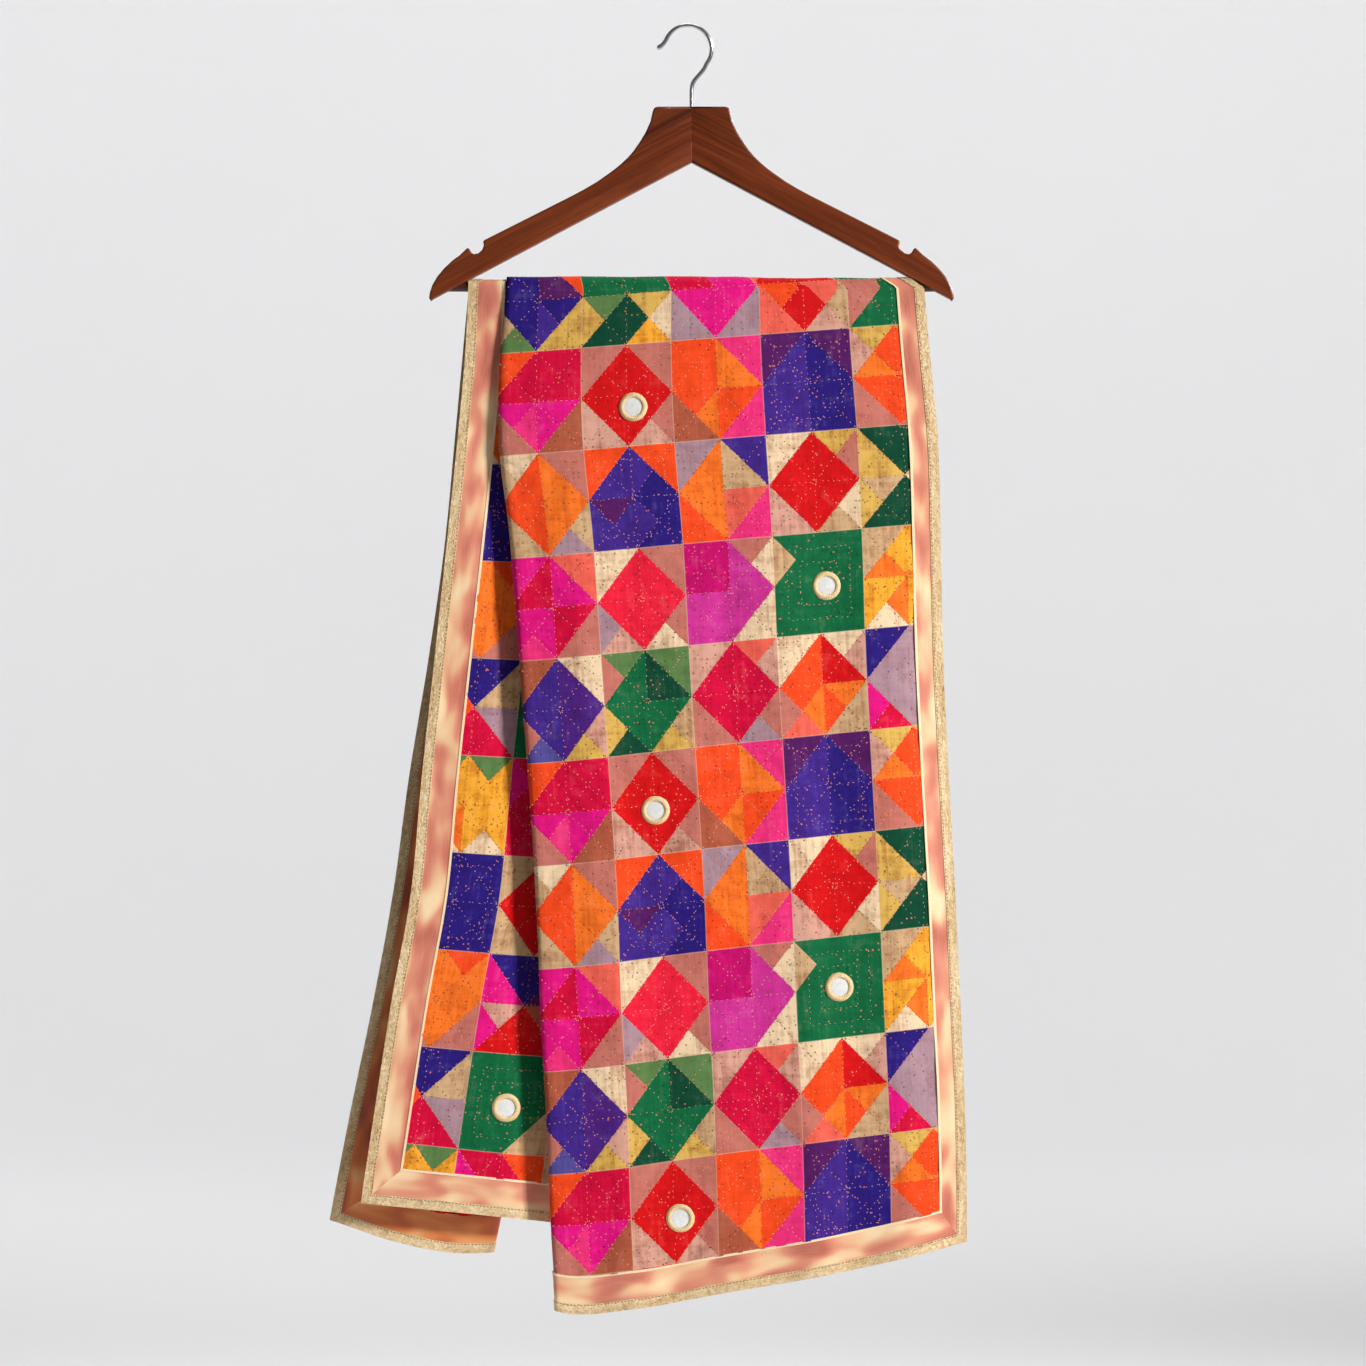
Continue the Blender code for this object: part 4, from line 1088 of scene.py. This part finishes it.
def mirror_pieces(mirror, glass, thread):
    node = mirror.name
    base = PRINT_WALL / 2
    radii = (0.0001, 0.003, 0.006, 0.0080, MIRROR_RADIUS + 0.0004)
    lifts = (base + 0.00125, base + 0.00122, base + 0.00112, base + 0.00100, base + 0.0006)
    vertices, faces = revolve(mirror, radii, lifts, GLASS_SIDES)
    faces.append(tuple(range(GLASS_SIDES))[::-1])
    disc = piece(f"glass_{node}", mesh_of(f"glass_{node}", vertices, faces), glass)
    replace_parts(disc, f"mirror_{node}")
    radii = (MIRROR_RADIUS - 0.0010, MIRROR_RADIUS - 0.0004, 0.0098, 0.0108, 0.0118, RING_OUTER_RADIUS)
    lifts = (base + 0.0013, base + 0.0019, base + 0.0021, base + 0.0018, base + 0.0010, base - 0.0002)
    ripple = (0.0001, 0.00022, 0.00028, 0.00028, 0.00022, 0.0)
    mesh = mesh_of(f"wrap_{node}", *revolve(mirror, radii, lifts, RING_SIDES, ripple))
    ring = piece(f"wrap_{node}", mesh, thread)
    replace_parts(ring, f"ring_{node}")
    return [disc, ring]


# Hanger

Corner = namedtuple("Corner", "x z")
ARM_OUTLINE = table(
    Corner,
    (0.0290, -0.0682), (0.0318, -0.0692), (0.0332, -0.0722), (0.0350, -0.0805), (0.0394, -0.0904),
    (0.0446, -0.0990), (0.0497, -0.1063), (0.0548, -0.1121), (0.0600, -0.1170), (0.0651, -0.1213),
    (0.0703, -0.1251), (0.0806, -0.1324), (0.0908, -0.1384), (0.1011, -0.1440), (0.1774, -0.1825),
    (0.1785, -0.1838), (0.1779, -0.1868), (0.1792, -0.1908), (0.1825, -0.1938), (0.1863, -0.1945),
    (0.1884, -0.1932), (0.1903, -0.1898), (0.1920, -0.1893), (0.1984, -0.1954), (0.2053, -0.2005),
    (0.2121, -0.2070), (0.2177, -0.2138), (0.2220, -0.2211), (0.2241, -0.2275), (0.2247, -0.2322),
    (0.2232, -0.2346), (0.2210, -0.2328),
)
WOOD_ROUND = 0.0024
ARM_SEAM = 0.00002


def arm(name, hand, material, node):
    """Half of the hanger, cut from a board, with its long edges well rounded."""
    outline = [(ARM_SEAM, NECK_TOP_Z), *ARM_OUTLINE, (ARM_SEAM, UNDERSIDE_APEX_Z)]
    made = bmesh.new()
    front = [made.verts.new((hand * x, -WOOD_THICKNESS / 2, z)) for x, z in outline]
    face = made.faces.new(front)
    grown = bmesh.ops.extrude_face_region(made, geom=[face])
    moved = [item for item in grown["geom"] if isinstance(item, bmesh.types.BMVert)]
    bmesh.ops.translate(made, verts=moved, vec=(0, WOOD_THICKNESS, 0))
    bmesh.ops.recalc_face_normals(made, faces=made.faces)
    weight = made.edges.layers.float.new("bevel_weight_edge")
    for edge in made.edges:
        a, b = edge.verts
        along_face = abs(a.co.y - b.co.y) < 0.001
        at_seam = abs(a.co.x) < 0.0002 and abs(b.co.x) < 0.0002
        edge[weight] = 1.0 if along_face and not at_seam else 0.0
    thing = piece(name, mesh_from(name, made), material)
    rounding = thing.modifiers.new("Rounded edges", "BEVEL")
    rounding.width = WOOD_ROUND
    rounding.segments = 5
    rounding.limit_method = "WEIGHT"
    flat = thing.modifiers.new("Flat faces", "WEIGHTED_NORMAL")
    flat.weight = 100
    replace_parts(thing, node)


def rod(name, radius, start, end, sides, material):
    start, end = Vector(start), Vector(end)
    along = end - start
    made = bmesh.new()
    bmesh.ops.create_cone(made, cap_ends=True, segments=sides, radius1=radius, radius2=radius,
                          depth=along.length)
    rims = [edge for edge in made.edges if len(edge.link_faces) == 2
            and any(len(face.verts) > 4 for face in edge.link_faces)]
    bmesh.ops.bevel(made, geom=rims, offset=radius * 0.22, segments=3, affect="EDGES", profile=0.5)
    turn = Vector((0, 0, 1)).rotation_difference(along)
    bmesh.ops.transform(made, matrix=Matrix.Translation((start + end) / 2) @ turn.to_matrix().to_4x4(),
                        verts=made.verts)
    return piece(name, mesh_from(name, made), material)


Bend = namedtuple("Bend", "x z thick")
HOOK_SWAN_NECK = table(
    Bend,
    (0.0000, NECK_TOP_Z - HOOK_SHAFT_DEPTH, 1.0), (0.0000, NECK_TOP_Z, 1.0), (0.0000, -0.0545, 1.0),
    (0.0002, -0.0515, 1.0), (0.0009, -0.0484, 1.0), (0.0024, -0.0455, 1.0), (0.0046, -0.0428, 1.0),
    (0.0070, -0.0401, 1.0), (0.0092, -0.0376, 1.0), (0.0112, -0.0347, 1.0),
)
HOOK_TIP = table(
    Bend,
    (-0.0222, -0.0112, 1.0), (-0.0240, -0.0138, 1.0), (-0.0258, -0.0158, 1.1),
    (-0.0274, -0.0170, 1.35), (-0.0288, -0.0175, 1.15), (-0.0296, -0.0176, 0.55),
)


def hook(material):
    path = list(HOOK_SWAN_NECK)
    for degrees in np.linspace(HOOK_LOOP_START, HOOK_LOOP_END, 40):
        angle = math.radians(degrees)
        path.append(Bend(HOOK_LOOP_CENTRE[0] + HOOK_LOOP_RADIUS * math.cos(angle),
                         HOOK_LOOP_CENTRE[1] + HOOK_LOOP_RADIUS * math.sin(angle), 1.0))
    path += HOOK_TIP
    curve = bpy.data.curves.new("hook_wire", "CURVE")
    curve.dimensions = "3D"
    curve.bevel_depth = HOOK_WIRE_RADIUS
    curve.bevel_resolution = 6
    curve.use_fill_caps = True
    wire = curve.splines.new("POLY")
    wire.points.add(len(path) - 1)
    for point, bend in zip(wire.points, path):
        point.co = (bend.x, 0.0, bend.z, 1.0)
        point.radius = bend.thick
    wire.use_smooth = True
    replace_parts(piece("hook_wire", curve, material), "hanger_hook")


def hanger():
    slope = math.atan(UNDERSIDE_SLOPE)
    for side, hand in (("left", -1), ("right", 1)):
        wood = wood_material(f"varnished_wood_{side}", -hand * slope, ARM_WOOD)
        arm(f"arm_{side}", hand, wood, f"hanger_arm_{side}")
    bar_wood = wood_material("bar_wood", 0.0, BAR_WOOD)
    bar = rod("trouser_bar", BAR_RADIUS, (-BAR_HALF_LENGTH, 0, BAR_Z), (BAR_HALF_LENGTH, 0, BAR_Z), 40,
              bar_wood)
    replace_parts(bar, "hanger_trouser_bar")
    hook(chrome_material())


LAYERS = ("flap", "middle", "panel")


def dupatta():
    silk, tissue = silk_material(), tissue_material()
    satin = satin_material("shot_satin", SATIN)
    # The darker satin for the bands' wrong side is painted shade
    satin_wrong_shaded = satin_material("shot_satin_wrong_side_shaded", SATIN_WRONG_SHADED)
    piping = thread_material("piping_cord", (232, 198, 152), (250, 228, 192))
    gold = thread_material("gold_thread", (200, 160, 104), (246, 224, 176))
    pale = thread_material("pale_thread", (226, 132, 104), (250, 204, 176))
    dark = thread_material("dark_thread", (96, 44, 30), (140, 78, 52))
    glass = glass_material()
    field = printed_field(silk)
    made = borders(satin, satin_wrong_shaded, tissue, piping)
    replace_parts(field, *(f"field_{drop}_{layer}" for drop in ("front", "back")
                         for layer in LAYERS))
    for kind in ("band", "binding"):
        for thing, side in zip(made[kind][:2], ("left", "right")):
            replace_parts(thing, f"{kind}_{side}_front", f"{kind}_{side}_back")
        for thing, end in zip(made[kind][2:], ("front", "back")):
            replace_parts(thing, *(f"{kind}_hem_{end}_{layer}" for layer in LAYERS))
    extras = [thing for things in made.values() for thing in things]
    extras += stitches(pale, dark)
    for mirror in MIRRORS:
        extras += mirror_pieces(mirror, glass, gold)


# Stage, light and camera

BACKDROP_RADIUS = 7.0
FLOOR_Z = -1.32
COVE_RADIUS = 2.4
WALL_TOP = 4.5
FLAT_RINGS = 3
OPEN_STEPS = 6
STAGE_SIDES = 128
COVE_STEPS = 16


def stage_material():
    n = Nodes("pale_backdrop")
    cloudy = n.noise(n.coords("Object"), 0.8, 2.0, 0.5)
    return n.set(Base_Color=n.mix(cloudy, (0.90, 0.90, 0.91), (0.93, 0.93, 0.94)), Roughness=0.9)


def stage():
    """A round floor that curves up into a wall behind the object, open towards the camera."""
    sides = STAGE_SIDES
    profile = [(0.01, 0.0), (1.0, 0.0), (3.0, 0.0), (BACKDROP_RADIUS - COVE_RADIUS, 0.0)]
    for i in range(1, COVE_STEPS + 1):
        angle = math.pi / 2 * i / COVE_STEPS
        profile.append((BACKDROP_RADIUS - COVE_RADIUS + COVE_RADIUS * math.sin(angle),
                        COVE_RADIUS * (1 - math.cos(angle))))
    profile.append((BACKDROP_RADIUS, WALL_TOP))
    angles = [2 * math.pi * s / sides for s in range(sides)]
    vertices = [(radius * math.cos(angle), radius * math.sin(angle), FLOOR_Z + up)
                for radius, up in profile for angle in angles]
    faces = [tuple(reversed(range(sides)))]
    faces += [ring_face(k, s, sides) for k in range(len(profile) - 1) for s in range(sides)
              if k < FLAT_RINGS or s < sides / 2 + OPEN_STEPS or s >= sides - OPEN_STEPS]
    mesh = mesh_of("backdrop", vertices, faces)
    mesh.materials.append(stage_material())
    linked("backdrop", mesh)


def area_light(name, at, target, size, power, spread=180):
    lamp = bpy.data.lights.new(name, "AREA")
    lamp.shape = "RECTANGLE"
    lamp.size, lamp.size_y = size
    lamp.energy = power
    lamp.spread = math.radians(spread)
    thing = linked(name, lamp)
    thing.location = at
    thing.rotation_euler = (Vector(target) - Vector(at)).to_track_quat("-Z", "Y").to_euler()


def lights():
    middle = (0.0, 0.0, -0.6)
    area_light("key", (3.9, -2.9, 1.3), middle, (0.9, 0.9), 20.5, 40)
    area_light("fill", (2.6, -4.2, 0.4), middle, (1.6, 1.6), 4)
    for name, side in (("wall_left", -1), ("wall_right", 1)):
        area_light(name, (3.4 * side, 2.2, 1.6), (0.0, BACKDROP_RADIUS, 0.6), (1.6, 1.6), 62, 130)
    area_light("back", (3.4, 3.0, 1.2), middle, (0.9, 0.9), 13, 40)
    area_light("floor", (0.3, 1.6, 3.2), (0.3, 1.6, FLOOR_Z), (2.4, 2.4), 33, 110)
    world = bpy.data.worlds.new("studio")
    world.use_nodes = True
    background = world.node_tree.nodes["Background"].inputs
    background["Color"].default_value = (1.0, 1.0, 1.0, 1.0)
    background["Strength"].default_value = 0.11
    bpy.context.scene.world = world
    bpy.context.scene.view_settings.view_transform = "Standard"


PIXEL = 0.000857
PHOTO_SIZE = 1366
PHOTO_CENTRE_X = 691.5
PHOTO_TOP_Z = 27.5
CAMERA_DISTANCE = 5.0
SENSOR = 36.0


def camera():
    data = bpy.data.cameras.new("photo_view")
    data.sensor_width = SENSOR
    data.lens = SENSOR * CAMERA_DISTANCE / (PHOTO_SIZE * PIXEL)
    data.clip_end = 60.0
    thing = linked("photo_view", data)
    x = (PHOTO_SIZE / 2 - PHOTO_CENTRE_X) * PIXEL
    z = -(PHOTO_SIZE / 2 - PHOTO_TOP_Z) * PIXEL
    thing.location = (x, -CAMERA_DISTANCE, z)
    thing.rotation_euler = (math.pi / 2, 0.0, 0.0)
    bpy.context.scene.camera = thing


camera()
stage()
lights()
hanger()
dupatta()
